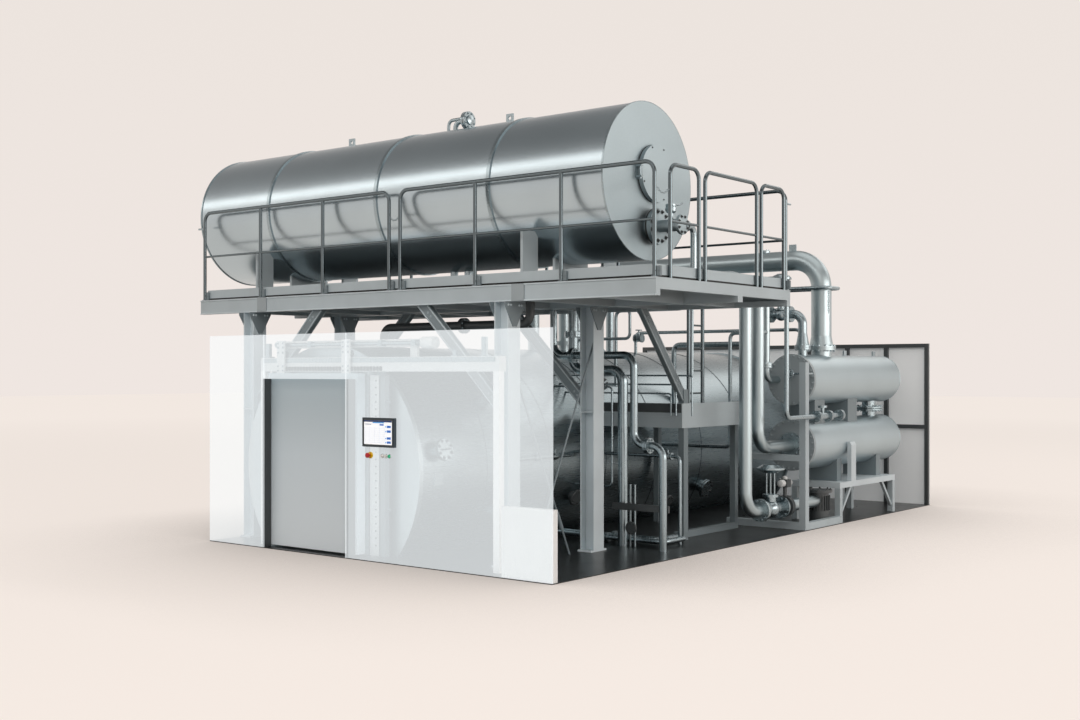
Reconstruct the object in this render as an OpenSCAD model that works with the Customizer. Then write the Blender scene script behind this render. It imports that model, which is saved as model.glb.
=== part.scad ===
// Pass-through retort sterilizer plant, standing on its floor plate from floor level up.
// Units are millimetres. X runs along the loading wall, Y from the loading side to the
// unloading side, Z up. The origin is the centre of the floor plate's underside.

/* [Walls] */
// Length of the loading and unloading walls
wall_w = 5280; // [5000:10:5600]
// Height of both walls
wall_h = 2500; // [2450:10:2700]
// Thickness of a wall sheet
wall_t = 20; // [12:1:20]
// Distance between the outer faces of the two walls
plant_l = 9580; // [9500:10:9900]
// Thickness of the floor plate
floor_t = 8; // [6:1:12]

/* [Doorway] */
// Centre of the doorway and of the vessel
door_x = -950; // [-1000:5:-900]
// Width of the doorway
door_w = 1390; // [1300:5:1440]
// Height of the doorway
door_h = 1985; // [1900:5:1995]
// Thickness of the door leaf
leaf_t = 120; // [80:5:120]
// Lap of the door leaf over each side of the doorway
leaf_lap = 60; // [40:5:60]
// Length of the door rail
rail_l = 3720; // [3700:10:3760]

/* [Vessel] */
// Height of the vessel axis above the ground
vessel_z = 934; // [900:2:960]
// Outer radius of the vessel shell
vessel_r = 1430; // [1400:5:1435]
// Thickness of the vessel wall with its cladding
vessel_t = 30; // [12:1:40]
// Thickness of the flat vessel end plates
plate_t = 60; // [40:5:70]

/* [Steelwork] */
// Depth of a column section, along the walls
col_h = 190; // [180:5:200]
// Flange width of a column section
col_b = 200; // [180:5:220]
// Centre of the left-hand columns
col_left_x = -2545; // [-2545:5:-2540]
// Centre of the right-hand columns
col_right_x = 1562; // [1540:2:1600]
// Top of the platform beams above the ground
deck_z = 2985; // [2960:5:3050]
// Height of the long platform beams
beam_h = 180; // [160:5:190]
// Length of the platform
deck_l = 7000; // [6960:10:7100]
// Depth of the platform
deck_d = 2760; // [2740:10:2800]
// Height of the handrail above the platform beams
rail_h = 1145; // [1050:5:1200]
// Outer diameter of the handrail tube
rail_d = 42; // [38:1:48]

/* [Storage tank] */
// Outer radius of the storage tank
tank_r = 832; // [800:2:850]
// Length of the storage tank over its ends
tank_l = 6460; // [6400:10:6500]
// Middle of the storage tank along the platform
tank_x = -460; // [-480:5:-440]
// Distance from the loading wall to the tank axis
tank_y = 1500; // [1490:5:1560]
// Clear height under the tank, above the deck
tank_gap = 260; // [220:5:300]

/* [Heat exchangers] */
// Outer radius of an exchanger shell
ex_r = 345; // [320:5:350]
// Axis of both exchangers
ex_x = 2190; // [2180:5:2200]
// Height of the lower exchanger axis
ex_low_z = 1080; // [1060:5:1100]
// Height of the upper exchanger axis
ex_top_z = 1960; // [1940:5:1980]

/* [Pipework] */
// Outer diameter of the overhead pipe
main_d = 280; // [250:5:290]
// Outer diameter of the circulation pipes
loop_d = 160; // [140:5:168]
// Outer diameter of the small drain pipes
drain_d = 100; // [80:5:104]
// Outer diameter of the steam pipe
steam_d = 120; // [100:5:130]
// Outer diameter of the instrument pipe
small_d = 60; // [48:2:64]

/* [Hidden] */
$fn = 96;
// Outer faces of the two walls, and the standing level on the floor plate
front = -plant_l / 2;
back = plant_l / 2;
gl = floor_t;
seam = 0.5;
// Fittings of the walls
stud_w = 60;
mid_rail_z = 1180;
screen_x = 74;
screen_z = 1262;
screen_w = 457;
screen_h = 300;
screen_t = 45;
box_w = 643;
box_h = 712;
box_t = 85;
// Sliding door stack, measured from the loading wall
leaf_y = front + wall_t + 110;
leaf_w = door_w + 2 * leaf_lap;
leaf_top = door_h + leaf_lap + 5;
leaf_gap = 6;
mouth_y = leaf_y + leaf_t + leaf_gap;
plate_y = front + 400;
mouth_side = 90;
sill_h = 40;
railbar_y = leaf_y + 50;
railbar_d = 110;
railbar_z = leaf_top + 20;
railbar_h = 160;
roller_r = 40;
roller_gap = 0.5;
rail_x0 = door_x - leaf_w / 2 - 195;
hanger_x = leaf_w / 2 - 205;
// Vessel
vessel_plate_r = vessel_r + 20;
vessel_y0 = plate_y + plate_t;
vessel_y1 = -vessel_y0;
// Steelwork
row_a = front + 520 + col_b / 2;
row_b = front + 2050 + col_b / 2;
web_t = 10;
tie_z = 2400;
tie_foot = 365;
beam_z = deck_z - beam_h;
beam_b = 75;
deck_y0 = front + 520;
deck_y1 = deck_y0 + deck_d;
end_b = 60;
end_h = 115;
grate_t = 30;
joist_b = 60;
joist_x = [-2800, -1860, -920, 20, 960, 1888, 2800];
post_inset = 35;
rail_c = 110;
mid_d = 27;
// Tank
tank_ay = front + tank_y;
tank_z = deck_z + tank_gap + tank_r;
tank_t = 30;
saddle_x = [tank_x - 2080, tank_x + 2200];
band_x = [tank_x - 1890, tank_x, tank_x + 1710];
band_w = 45;
rim_w = 20;
// Exchangers
ex_y0 = front + 5840;
ex_y1 = back - 770;
ex_plate_t = 50;
ex_dome = 120;
ex_shell_r = ex_r - 5;
stand_y0 = ex_y0 + 660;
stand_y1 = ex_y1 - 460;
stand_z = 550;
stand_x0 = ex_x - 330;
stand_x1 = ex_x + 400;
saddle_w = 150;
// Skid by the right-hand edge of the floor plate
edge_x = wall_w / 2;
skid_x0 = edge_x - 100;
skid_x1 = edge_x - 10;
skid_y0 = front + 5390;
skid_post_d = 100;
skid_post_h = 2190;
skid_beam_h = 90;
skid_rail_z = 900;
skid_beam_x0 = edge_x - 1180;
// Pipework stations, measured from the loading wall
loop_z = deck_z + 260;
loop_bend = loop_d * 1.5;
low_line_y = front + 4930;
top_line_y = front + 5520;
top_line_x = ex_x - 200;
top_line_d = loop_d * 0.6;
main_y = front + 6750;
main_z = 3640;
main_bend = 400;
riser_x = door_x - 800;
riser_z = vessel_z + sqrt(pow(vessel_r, 2) - pow(door_x - riser_x, 2));
lug_x = [edge_x - 2520, edge_x - 890];
pump_x = edge_x - 240;
pump_y = front + 6250;
pump_r = 130;
pump_h = 420;
pump_line_y = front + 4230;
pump_line_z = 320;
valve_y = front + 4600;
valve_l = 540;
wafer_y = front + 5230;
wafer_w = 70;
steam_y = front + 6080;
steam_x = ex_x + 50;
steam_z = 2850;
steam_valve_x = ex_x - 110;
steam_valve_l = 320;
small_x = edge_x + 25;
small_y = front + 4800;
small_z = 1480;
small_valve_y = skid_y0 + 250;
drain_y = front + 2600;
drain_z = 2262;
drain_ax = 1840;
drain_bx = 1565;
jog_z = 1213;
vent_y = front + 1300;
vent_z = 2600;
vent_x = 1330;
top_z = vessel_z + vessel_r;
// Walkway
walk_x0 = 500;
walk_x1 = 1935;
walk_y0 = front + 3500;
walk_y1 = front + 5110;
walk_z = 1550;
walk_h = 170;
walk_post_h = 1850;
walk_leg = 80;
toe_t = 6;
walk_post_x = walk_x1 - toe_t - 1 - walk_leg / 2;
walk_post_y = walk_y0 + 50;
toe_h = 130;

// A box from two opposite corners
module span(a, b) {
  translate(a)
    cube(b - a);
}

// A round bar from point a along unit direction u
module rod(a, u, l, d) {
  v = abs(u[2]) > 0.5 ? [1, 0, 0] : [0, 0, 1];
  w = cross(u, v);
  multmatrix([[v[0], w[0], u[0], a[0]], [v[1], w[1], u[1], a[1]], [v[2], w[2], u[2], a[2]], [0, 0, 0, 1]])
    cylinder(d = d, h = l);
}

// A quarter bend at corner p from direction a to direction b
module bend(p, a, b, r, d) {
  n = cross(a, b);
  c = p - a * r + b * r;
  multmatrix([[-b[0], a[0], n[0], c[0]], [-b[1], a[1], n[1], c[1]], [-b[2], a[2], n[2], c[2]], [0, 0, 0, 1]])
    rotate_extrude(angle = 90)
      translate([r, 0])
        circle(d = d);
}

// A pipe through square-cornered points with quarter bends
module pipe_run(p, r, d) {
  n = len(p);
  dirs = [for (i = [0:n - 2]) (p[i + 1] - p[i]) / norm(p[i + 1] - p[i])];
  for (i = [0:n - 2]) {
    s = i == 0 ? 0 : r;
    e = i == n - 2 ? 0 : r;
    rod(p[i] + dirs[i] * s, dirs[i], norm(p[i + 1] - p[i]) - s - e, d);
  }
  for (i = [1:n - 2])
    bend(p[i], dirs[i - 1], dirs[i], r, d);
}

// Two bolted flanges met at p, on a pipe of diameter d along u
module flange_pair(p, u, d) {
  rod(p - u * 28, u, 26, d * 1.8);
  rod(p + u * 2, u, 26, d * 1.8);
  rod(p - u * 4, u, 8, d * 1.2);
}

// A diaphragm actuator on its yoke, standing on z = 0, for a pipe of diameter d
module actuator(d, h) {
  for (s = [-1, 1])
    translate([s * d * 0.35, 0, 0])
      cylinder(d = d * 0.14, h = h);
  cylinder(d = d * 0.16, h = h);
  translate([0, 0, h - 1])
    rotate_extrude()
      polygon([
        [0, 0], [d * 0.62, 0], [d * 1.02, d * 0.26], [d * 1.15, d * 0.26], [d * 1.15, d * 0.4],
        [d * 1.02, d * 0.4], [d * 0.66, d * 0.64], [0, d * 0.68]
      ]);
}

// A flanged globe valve from the origin along +Z for length l, with its bonnet towards +X
module valve_body(d, l) {
  for (z = [0, l - 28])
    translate([0, 0, z])
      cylinder(d = d * 1.8, h = 28);
  cylinder(d = d, h = l);
  translate([0, 0, l / 2])
    sphere(d = d * 1.45);
  translate([0, 0, l / 2])
    rotate([0, 90, 0]) {
      cylinder(d = d * 0.9, h = d * 1.15);
      translate([0, 0, d * 0.95])
        cylinder(d = d * 1.3, h = d * 0.2);
    }
}

// The vessel's outer cylinder, for cutting seats
module vessel_solid(r) {
  translate([door_x, front, vessel_z])
    rotate([-90, 0, 0])
      cylinder(r = r, h = plant_l, $fn = 360);
}

// Everything above the floor plate
module above_floor() {
  span([-wall_w, front, gl], [wall_w, back, 2 * wall_h]);
}

module floor_plate() {
  color("#3c4043")
    span([-wall_w / 2, front, 0], [wall_w / 2, back, floor_t]);
}

module front_wall_left() {
  color("#e9eceb")
    span([-wall_w / 2, front, gl], [door_x - door_w / 2, front + wall_t, wall_h]);
}

module front_wall_right() {
  color("#e9eceb")
    span([door_x + door_w / 2, front, gl], [wall_w / 2, front + wall_t, wall_h]);
}

module front_wall_header() {
  color("#e9eceb")
    span([door_x - door_w / 2, front, door_h], [door_x + door_w / 2, front + wall_t, wall_h]);
}

module door_jambs() {
  color("#8d9396")
    for (s = [-1, 1])
      translate([door_x + s * (door_w / 2 + 15), 0, 0])
        span([-15, front + wall_t, gl], [15, leaf_y - 10, door_h]);
}

module door_leaf() {
  color("#a3a8aa")
    span([door_x - leaf_w / 2, leaf_y, gl + 22], [door_x + leaf_w / 2, leaf_y + leaf_t, leaf_top]);
}

module door_hangers() {
  color("#6d7376")
    for (s = [-1, 1])
      translate([door_x + s * hanger_x, 0, 0])
        span([-65, leaf_y + 10, leaf_top], [65, leaf_y + 30, railbar_z + railbar_h + 200]);
}

module door_rollers() {
  color("#3c4043")
    for (s = [-1, 1])
      translate([door_x + s * hanger_x, leaf_y + 30, railbar_z + railbar_h + roller_gap + roller_r])
        rod([0, 0, 0], [0, 1, 0], 75, 2 * roller_r);
}

module door_rail() {
  color("#7b8285")
    span([rail_x0, railbar_y, railbar_z], [rail_x0 + rail_l, railbar_y + railbar_d, railbar_z + railbar_h]);
}

module door_rail_posts() {
  color("#dfe3e3")
    for (x = [rail_x0, rail_x0 + rail_l - 80])
      span([x, railbar_y, gl], [x + 80, railbar_y + 80, railbar_z]);
}

module door_drive() {
  z = railbar_z + railbar_h;
  y0 = railbar_y + 70;
  color("#5d6366") {
    span([rail_x0 + 240, y0, z + 110], [rail_x0 + 2560, y0 + 80, z + 195]);
    for (x = [rail_x0 + 240, rail_x0 + 2400])
      span([x, y0, z], [x + 100, y0 + 40, z + 110 - seam]);
    rod([rail_x0 + 2560, y0 + 40, z + 152], [1, 0, 0], 180, 130);
  }
}

module control_screen() {
  color("#2b2f31")
    span([screen_x, front - screen_t, screen_z], [screen_x + screen_w, front, screen_z + screen_h]);
}

module service_box() {
  color("#f1f3f2")
    span(
      [edge_x - 12 - box_w, front + wall_t, gl],
      [edge_x - 12, front + wall_t + box_t, gl + box_h]
    );
}

module back_wall() {
  color("#dcdedd") {
    span([-wall_w / 2, back - wall_t, gl], [door_x - door_w / 2, back, wall_h]);
    span([door_x + door_w / 2, back - wall_t, gl], [wall_w / 2, back, wall_h]);
    span(
      [door_x - door_w / 2 + seam, back - wall_t, door_h],
      [door_x + door_w / 2 - seam, back, wall_h]
    );
  }
}

// Centres of the posts behind the unloading wall
stud_x = [
  -(wall_w - stud_w) / 2, door_x - (door_w + stud_w) / 2, door_x + (door_w + stud_w) / 2,
  wall_w / 2 - 2010, wall_w / 2 - 1350, wall_w / 2 - 690, (wall_w - stud_w) / 2
];

module back_wall_posts() {
  color("#54595c")
    for (x = stud_x)
      span([x - stud_w / 2, back - wall_t - stud_w, gl], [x + stud_w / 2, back - wall_t, wall_h]);
}

module back_wall_rails() {
  color("#54595c")
    for (i = [0:len(stud_x) - 2]) {
      span(
        [stud_x[i] + stud_w / 2, back - wall_t - stud_w, wall_h - stud_w],
        [stud_x[i + 1] - stud_w / 2, back - wall_t, wall_h]
      );
      if (i != 1)
        span(
          [stud_x[i] + stud_w / 2, back - wall_t - stud_w, mid_rail_z],
          [stud_x[i + 1] - stud_w / 2, back - wall_t, mid_rail_z + stud_w]
        );
    }
}

module rear_door() {
  color("#a3a8aa")
    span(
      [door_x - leaf_w / 2, -leaf_y - leaf_t, gl],
      [door_x + leaf_w / 2, -leaf_y, leaf_top]
    );
}

module vessel_shell() {
  color("#c3c8ca")
    intersection() {
      translate([door_x, vessel_y0, vessel_z])
        rotate([-90, 0, 0])
          difference() {
            cylinder(r = vessel_r, h = vessel_y1 - vessel_y0, $fn = 180);
            translate([0, 0, -1])
              cylinder(r = vessel_r - vessel_t, h = vessel_y1 - vessel_y0 + 2, $fn = 180);
          }
      above_floor();
    }
}

// A flat end plate with its doorway, from y0 towards the unloading side
module end_plate(y0) {
  difference() {
    intersection() {
      translate([door_x, y0, vessel_z])
        rotate([-90, 0, 0])
          cylinder(r = vessel_plate_r, h = plate_t, $fn = 180);
      above_floor();
    }
    span(
      [door_x - door_w / 2, y0 - 1, gl + sill_h],
      [door_x + door_w / 2, y0 + plate_t + 1, door_h]
    );
  }
}

module vessel_plates() {
  color("#d7dada") {
    end_plate(plate_y);
    end_plate(-plate_y - plate_t);
  }
}

// The square collar that the door closes on
module mouth(y0, y1) {
  difference() {
    span(
      [door_x - door_w / 2 - mouth_side, y0, gl],
      [door_x + door_w / 2 + mouth_side, y1, leaf_top + 15]
    );
    span([door_x - door_w / 2, y0 - 1, gl + sill_h], [door_x + door_w / 2, y1 + 1, door_h]);
  }
}

module vessel_mouths() {
  color("#9aa0a3") {
    mouth(mouth_y, plate_y);
    mouth(-plate_y, -leaf_y - leaf_t);
  }
}

// Flanged nozzles square to the shell: distance along the vessel, angle, bore size
nozzle = [[726, 10, 150], [1785, 34, 150], [1782, -22, 180], [6490, -22, 180], [4200, 40, 120]];

module vessel_nozzles() {
  color("#b4babc")
    for (q = nozzle)
      difference() {
        translate([door_x, front + q[0], vessel_z])
          rotate([0, 90 - q[1], 0]) {
            translate([0, 0, vessel_r - 60])
              cylinder(d = q[2], h = 185);
            translate([0, 0, vessel_r + 76])
              cylinder(d = q[2] + 90, h = 24);
            translate([0, 0, vessel_r + 104])
              cylinder(d = q[2] + 90, h = 24);
          }
        vessel_solid(vessel_r + 0.2);
      }
}

module chamber_rails() {
  color("#7d8386")
    for (x = [door_x - 420, door_x + 420])
      span([x - 30, vessel_y0, gl], [x + 30, vessel_y1, gl + 60]);
}

// An upright H section centred on x, y with its foot plate
module h_column(x, y) {
  translate([x, y, 0]) {
    span([-col_h / 2, -col_b / 2 - 50, gl], [col_h / 2, col_b / 2 + 50, gl + 20]);
    span([-col_h / 2, -web_t / 2, gl + 20], [col_h / 2, web_t / 2, beam_z]);
    for (s = [-1, 1])
      translate([s * (col_h / 2 - 6), 0, 0])
        span([-6, -col_b / 2, gl + 20], [6, col_b / 2, beam_z]);
  }
}

module columns() {
  color("#767d80")
    for (x = [col_left_x, col_right_x], y = [row_a, row_b])
      h_column(x, y);
}

// Tapered head plates on both flange faces of each column
module column_gussets() {
  head = 330;
  drop = 260;
  color("#767d80")
    for (x = [col_left_x, col_right_x], y = [row_a, row_b], s = [-1, 1])
      translate([x + s * (col_h / 2 + 6) - 6, y, beam_z])
        rotate([90, 0, 90])
          linear_extrude(12)
            polygon([[-head / 2, 0], [head / 2, 0], [head / 2, -30], [30, -drop], [-30, -drop], [-head / 2, -30]]);
}

// A sloping stay from a column face up to a beam
module knee(x, y, s) {
  r = 1100;
  intersection() {
    translate([x, y, beam_z - r])
      rotate([0, s * 45, 0])
        span([-60, -35, -200], [60, 35, 2 * r]);
    span([min(x, x + s * 1400), y - 40, 0], [max(x, x + s * 1400), y + 40, beam_z]);
  }
}

module knee_braces() {
  color("#6a7174")
    for (y = [row_a, row_b]) {
      knee(col_left_x + col_h / 2, y, 1);
      knee(col_right_x - col_h / 2, y, -1);
    }
}

// A slim tie with its turnbuckle, from height tie_z at y0 down to the floor at y1
module tie(x, y0, y1) {
  a = atan2(tie_z - gl, y1 - y0);
  l = norm([y1 - y0, tie_z - gl]);
  intersection() {
    translate([x, y1, gl])
      rotate([90 - a, 0, 0]) {
        translate([0, 0, -100])
          cylinder(d = 22, h = l + 200, $fn = 24);
        translate([0, 0, 330])
          cylinder(d = 44, h = 220, $fn = 24);
      }
    span([x - 50, min(y0, y1) - (y1 < y0 ? 100 : 0), gl], [x + 50, max(y0, y1) + (y1 > y0 ? 100 : 0), beam_z]);
  }
}

module tie_rods() {
  y_mid = (row_a + row_b) / 2;
  color("#9aa0a3")
    for (x = [col_left_x, col_right_x]) {
      tie(x - 25, row_a + web_t / 2, y_mid + tie_foot);
      tie(x + 25, row_b - web_t / 2, y_mid - tie_foot);
    }
}

// A rolled channel along X with its flat web towards direction s
module channel_x(y, s) {
  translate([0, y, 0]) {
    span([-deck_l / 2 + end_b, min(0, s * 9), beam_z], [deck_l / 2 - end_b, max(0, s * 9), deck_z]);
    for (z = [beam_z, deck_z - 12])
      span([-deck_l / 2 + end_b, min(0, s * beam_b), z], [deck_l / 2 - end_b, max(0, s * beam_b), z + 12]);
    span([-deck_l / 2, min(0, s * beam_b), beam_z], [deck_l / 2, max(0, s * beam_b), deck_z - end_h]);
  }
}

module platform_beams() {
  color("#7b8285") {
    channel_x(deck_y0, 1);
    channel_x(deck_y1, -1);
    span([-deck_l / 2, row_b - 50, beam_z], [deck_l / 2, row_b + 50, deck_z - end_h]);
    span([-deck_l / 2 + end_b, row_b - 50, beam_z], [deck_l / 2 - end_b, row_b + 50, deck_z - grate_t]);
  }
}

module platform_joists() {
  color("#6a7174") {
    for (x = joist_x, y = [[deck_y0 + beam_b, row_b - 50], [row_b + 50, deck_y1 - beam_b]])
      span([x - joist_b / 2, y[0], beam_z], [x + joist_b / 2, y[1], deck_z - grate_t]);
    for (s = [-1, 1])
      translate([s * (deck_l / 2 - end_b / 2), 0, 0])
        span([-end_b / 2, deck_y0, deck_z - end_h], [end_b / 2, deck_y1, deck_z]);
  }
}

module platform_deck() {
  color("#565c5f")
    span(
      [-deck_l / 2 + end_b, deck_y0 + beam_b, deck_z - grate_t],
      [deck_l / 2 - end_b, deck_y1 - beam_b, deck_z]
    );
}

module toe_boards() {
  color("#8d9396") {
    for (y = [deck_y0 + beam_b - 10, deck_y1 - beam_b + 4])
      span([-deck_l / 2 + end_b + 10, y, deck_z], [deck_l / 2 - end_b - 10, y + 6, deck_z + toe_h]);
    for (x = [-deck_l / 2 + end_b - 8, deck_l / 2 - end_b + 2])
      span([x, deck_y0 + beam_b, deck_z], [x + 6, deck_y1 - beam_b, deck_z + toe_h]);
  }
}

// A handrail panel along X from 0, with its posts at the places in p
module rail_panel(p) {
  l = p[len(p) - 1];
  h = rail_h - rail_d / 2;
  pipe_run([[0, 0, 0], [0, 0, h], [l, 0, h], [l, 0, 0]], rail_c, rail_d);
  for (i = [1:1:len(p) - 2])
    rod([p[i], 0, 0], [0, 0, 1], h, rail_d);
  rod([0, 0, h / 2], [1, 0, 0], l, mid_d);
}

module handrails_long() {
  color("#b9bec0")
    for (y = [deck_y0 + post_inset, deck_y1 - post_inset]) {
      translate([-deck_l / 2 + 40, y, deck_z])
        rail_panel([0, 1100, 2230, 3334]);
      translate([48, y, deck_z])
        rail_panel([0, 1119, 2279, deck_l / 2 - 88]);
    }
}

// An end handrail panel at x, from deck depth y0 to y1
module end_panel(x, y0, y1) {
  translate([x, deck_y0 + y0, deck_z])
    rotate([0, 0, 90])
      rail_panel([0, y1 - y0]);
}

module handrails_end() {
  color("#b9bec0") {
    end_panel(deck_l / 2 - 30, 300, 840);
    end_panel(deck_l / 2 - 30, 960, 2040);
    for (s = [-1, 1])
      end_panel(s * (deck_l / 2 - 30), 2140, deck_d - 100);
  }
}

// A ring round the tank axis, from x to x + w
module tank_ring(x, w, ri, ro) {
  translate([x, tank_ay, tank_z])
    rotate([0, 90, 0])
      difference() {
        cylinder(r = ro, h = w, $fn = 120);
        translate([0, 0, -1])
          cylinder(r = ri, h = w + 2, $fn = 120);
      }
}

module tank_shell() {
  color("#cdd2d4")
    tank_ring(tank_x - tank_l / 2 + 25, tank_l - 50, tank_r - tank_t, tank_r);
}

module tank_ends() {
  color("#c3c8ca")
    for (x = [tank_x - tank_l / 2, tank_x + tank_l / 2 - 25])
      translate([x, tank_ay, tank_z])
        rotate([0, 90, 0])
          cylinder(r = tank_r, h = 25, $fn = 120);
}

module tank_bands() {
  color("#aab0b3") {
    for (x = band_x)
      tank_ring(x - band_w / 2, band_w, tank_r + 0.3, tank_r + 14);
    for (x = [tank_x - tank_l / 2, tank_x + tank_l / 2 - rim_w])
      tank_ring(x, rim_w, tank_r + 0.3, tank_r + 8);
  }
}

// The tank's outer cylinder, for cutting seats
module tank_solid() {
  translate([tank_x - tank_l, tank_ay, tank_z])
    rotate([0, 90, 0])
      cylinder(r = tank_r + 0.3, h = 2 * tank_l, $fn = 240);
}

// A pair of leg plates that lean on the tank, joined by a low cross beam
module tank_saddles() {
  leg_t = 34;
  y_in = tank_r - 230;
  y_out = tank_r + 25;
  color("#7b8285")
    for (x = saddle_x)
      difference() {
        union() {
          for (s = [-1, 1])
            translate([x, tank_ay, 0])
              span(
                [-leg_t / 2, min(s * y_in, s * y_out), deck_z],
                [leg_t / 2, max(s * y_in, s * y_out), tank_z - tank_r * 0.62]
              );
          span([x - 60, tank_ay - y_in - 1, deck_z], [x + 60, tank_ay + y_in + 1, deck_z + 140]);
          span([x - 17, tank_ay - 300, deck_z], [x + 17, tank_ay + 300, tank_z - tank_r + 90]);
        }
        tank_solid();
      }
}

// The round manhole cover and the service flange with its spool, on the right-hand end
module tank_cover() {
  x = tank_x + tank_l / 2;
  color("#bcc2c4") {
    rod([x, tank_ay + 90, tank_z + 85], [1, 0, 0], 60, 610);
    translate([x, tank_ay + 40, tank_z - 480]) {
      rod([0, 0, 0], [1, 0, 0], 75, 250);
      rod([70, 0, 0], [1, 0, 0], 45, 380);
      rod([100, 0, 0], [1, 0, 0], 300, 130);
      rod([370, 0, 0], [1, 0, 0], 32, 210);
    }
  }
}

// Lifting lugs and a gooseneck vent on the top, outlets at the bottom
module tank_fittings() {
  top = tank_z + tank_r;
  vent = tank_x + 500;
  color("#aab0b3")
    difference() {
      union() {
        for (x = [tank_x - 1260, tank_x + 1335])
          difference() {
            span([x - 50, tank_ay - 10, top - 20], [x + 50, tank_ay + 10, top + 110]);
            translate([x, tank_ay + 50, top + 60])
              rotate([90, 0, 0])
                cylinder(d = 45, h = 100);
          }
        pipe_run(
          [[vent, tank_ay, top - 40], [vent, tank_ay, top + 110], [vent + 160, tank_ay, top + 110]],
          75, 60
        );
        rod([vent + 140, tank_ay, top + 110], [1, 0, 0], 24, 130);
        for (x = [tank_x + 480, tank_x + 700])
          translate([x, tank_ay, deck_z])
            cylinder(d = 90, h = tank_gap + 40);
      }
      tank_solid();
    }
}

// A cylinder of radius r along Y on one exchanger axis, from y0 to y1
module along_exchanger(z, r, y0, y1) {
  translate([ex_x, y0, z])
    rotate([-90, 0, 0])
      cylinder(r = r, h = y1 - y0);
}

module exchanger_shells() {
  dome_r = (ex_shell_r * ex_shell_r + ex_dome * ex_dome) / (2 * ex_dome);
  color("#c3c8ca")
    for (z = [ex_low_z, ex_top_z])
      difference() {
        along_exchanger(z, ex_shell_r, ex_y0 + ex_plate_t, ex_y1);
        difference() {
          along_exchanger(z, ex_r + 20, ex_y1 - ex_dome - 5, ex_y1 + 1);
          translate([ex_x, ex_y1 - dome_r, z])
            sphere(r = dome_r);
        }
      }
}

module exchanger_plates() {
  color("#4a4f52")
    for (z = [ex_low_z, ex_top_z])
      along_exchanger(z, ex_r, ex_y0, ex_y0 + ex_plate_t);
}

module exchanger_saddles() {
  seat_r = ex_shell_r + 0.3;
  color("#6a7174")
    difference() {
      union() {
        for (y = [stand_y0 + 200, stand_y1 - 200 - saddle_w])
          span([ex_x - 260, y, stand_z], [ex_x + 260, y + saddle_w, ex_low_z - 160]);
        for (y = [ex_y0 + 300, (ex_y0 + ex_y1) / 2 - saddle_w])
          span([ex_x - 200, y, ex_low_z + 180], [ex_x + 200, y + 2 * saddle_w, ex_top_z - 180]);
      }
      for (z = [ex_low_z, ex_top_z])
        along_exchanger(z, seat_r, ex_y0, ex_y1);
    }
}

module exchanger_spool() {
  y = ex_y1 - 480;
  mid = (ex_low_z + ex_top_z) / 2;
  color("#b9bec0")
    difference() {
      union() {
        translate([ex_x, y, ex_low_z])
          cylinder(d = 200, h = ex_top_z - ex_low_z);
        flange_pair([ex_x, y, mid], [0, 0, 1], 200);
      }
      for (z = [ex_low_z, ex_top_z])
        along_exchanger(z, ex_shell_r + 0.3, ex_y0, ex_y1);
    }
}

// A sloping strut in a YZ plane between two points, clipped to the stand's legs
module strut(x, y0, z0, y1, z1) {
  l = norm([y1 - y0, z1 - z0]);
  translate([x, y0, z0])
    rotate([atan2(z1 - z0, y1 - y0), 0, 0])
      span([0, 0, -20], [40, l, 20]);
}

module exchanger_stand() {
  y_bracket = stand_y0 + 360;
  color("#6a7174") {
    span([stand_x0, stand_y0, stand_z - 80], [stand_x1, stand_y1, stand_z]);
    translate([0, y_bracket + 150, 0])
      rotate([90, 0, 0])
        linear_extrude(150)
          polygon([
            [ex_x + ex_r - 4.7, stand_z], [stand_x1, stand_z], [stand_x1, ex_low_z - 30],
            [stand_x1 - 20, ex_low_z + 10], [ex_x + ex_r - 4.7, ex_low_z + 10]
          ]);
  }
}

module skid_frame() {
  color("#7b8285") {
    span([skid_x0, skid_y0, gl], [skid_x1, skid_y0 + skid_post_d, skid_post_h]);
    span(
      [skid_x0, skid_y0 + skid_post_d + seam, gl],
      [skid_x1, stand_y0 - seam, gl + skid_beam_h]
    );
    span([skid_beam_x0, skid_y0, gl], [skid_x0 - seam, skid_y0 + skid_post_d, gl + skid_beam_h]);
    span([skid_x0 - 720, skid_y0, skid_rail_z], [skid_x0 - seam, skid_y0 + 60, skid_rail_z + 80]);
    for (x = [stand_x0, stand_x1 - 80], y = [stand_y0, stand_y1 - 80])
      span([x, y, gl], [x + 80, y + 80, stand_z - 80 - seam]);
  }
  stand_struts();
}

module stand_struts() {
  x = stand_x1 - 60;
  z0 = gl + 90;
  color("#7b8285")
    intersection() {
      union() {
        strut(x, stand_y0 + 60, z0, stand_y0 + 420, stand_z - 60);
        strut(x, stand_y1 - 420, stand_z - 60, stand_y1 - 60, z0);
      }
      span([x - 10, stand_y0 + 80, gl], [x + 60, stand_y1 - 80, stand_z - 80]);
    }
}

module overhead_pipe() {
  nozzle_z = ex_top_z + ex_r + 90;
  color("#c9ced0")
    difference() {
      union() {
        pipe_run(
          [
            [riser_x, main_y, riser_z - 150], [riser_x, main_y, main_z], [ex_x, main_y, main_z],
            [ex_x, main_y, nozzle_z - 150]
          ],
          main_bend, main_d
        );
        translate([ex_x, main_y, nozzle_z])
          cylinder(d1 = main_d + 60, d2 = main_d, h = 170);
        flange_pair([ex_x, main_y, nozzle_z], [0, 0, 1], main_d * 0.8);
        flange_pair([riser_x, main_y, riser_z + 250], [0, 0, 1], main_d * 0.8);
        for (x = lug_x)
          span([x - 55, main_y - 10, main_z], [x + 55, main_y + 10, main_z + main_d / 2 + 90]);
      }
      vessel_solid(vessel_r + 0.2);
      along_exchanger(ex_top_z, ex_shell_r + 0.2, ex_y0, ex_y1);
    }
}

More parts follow.
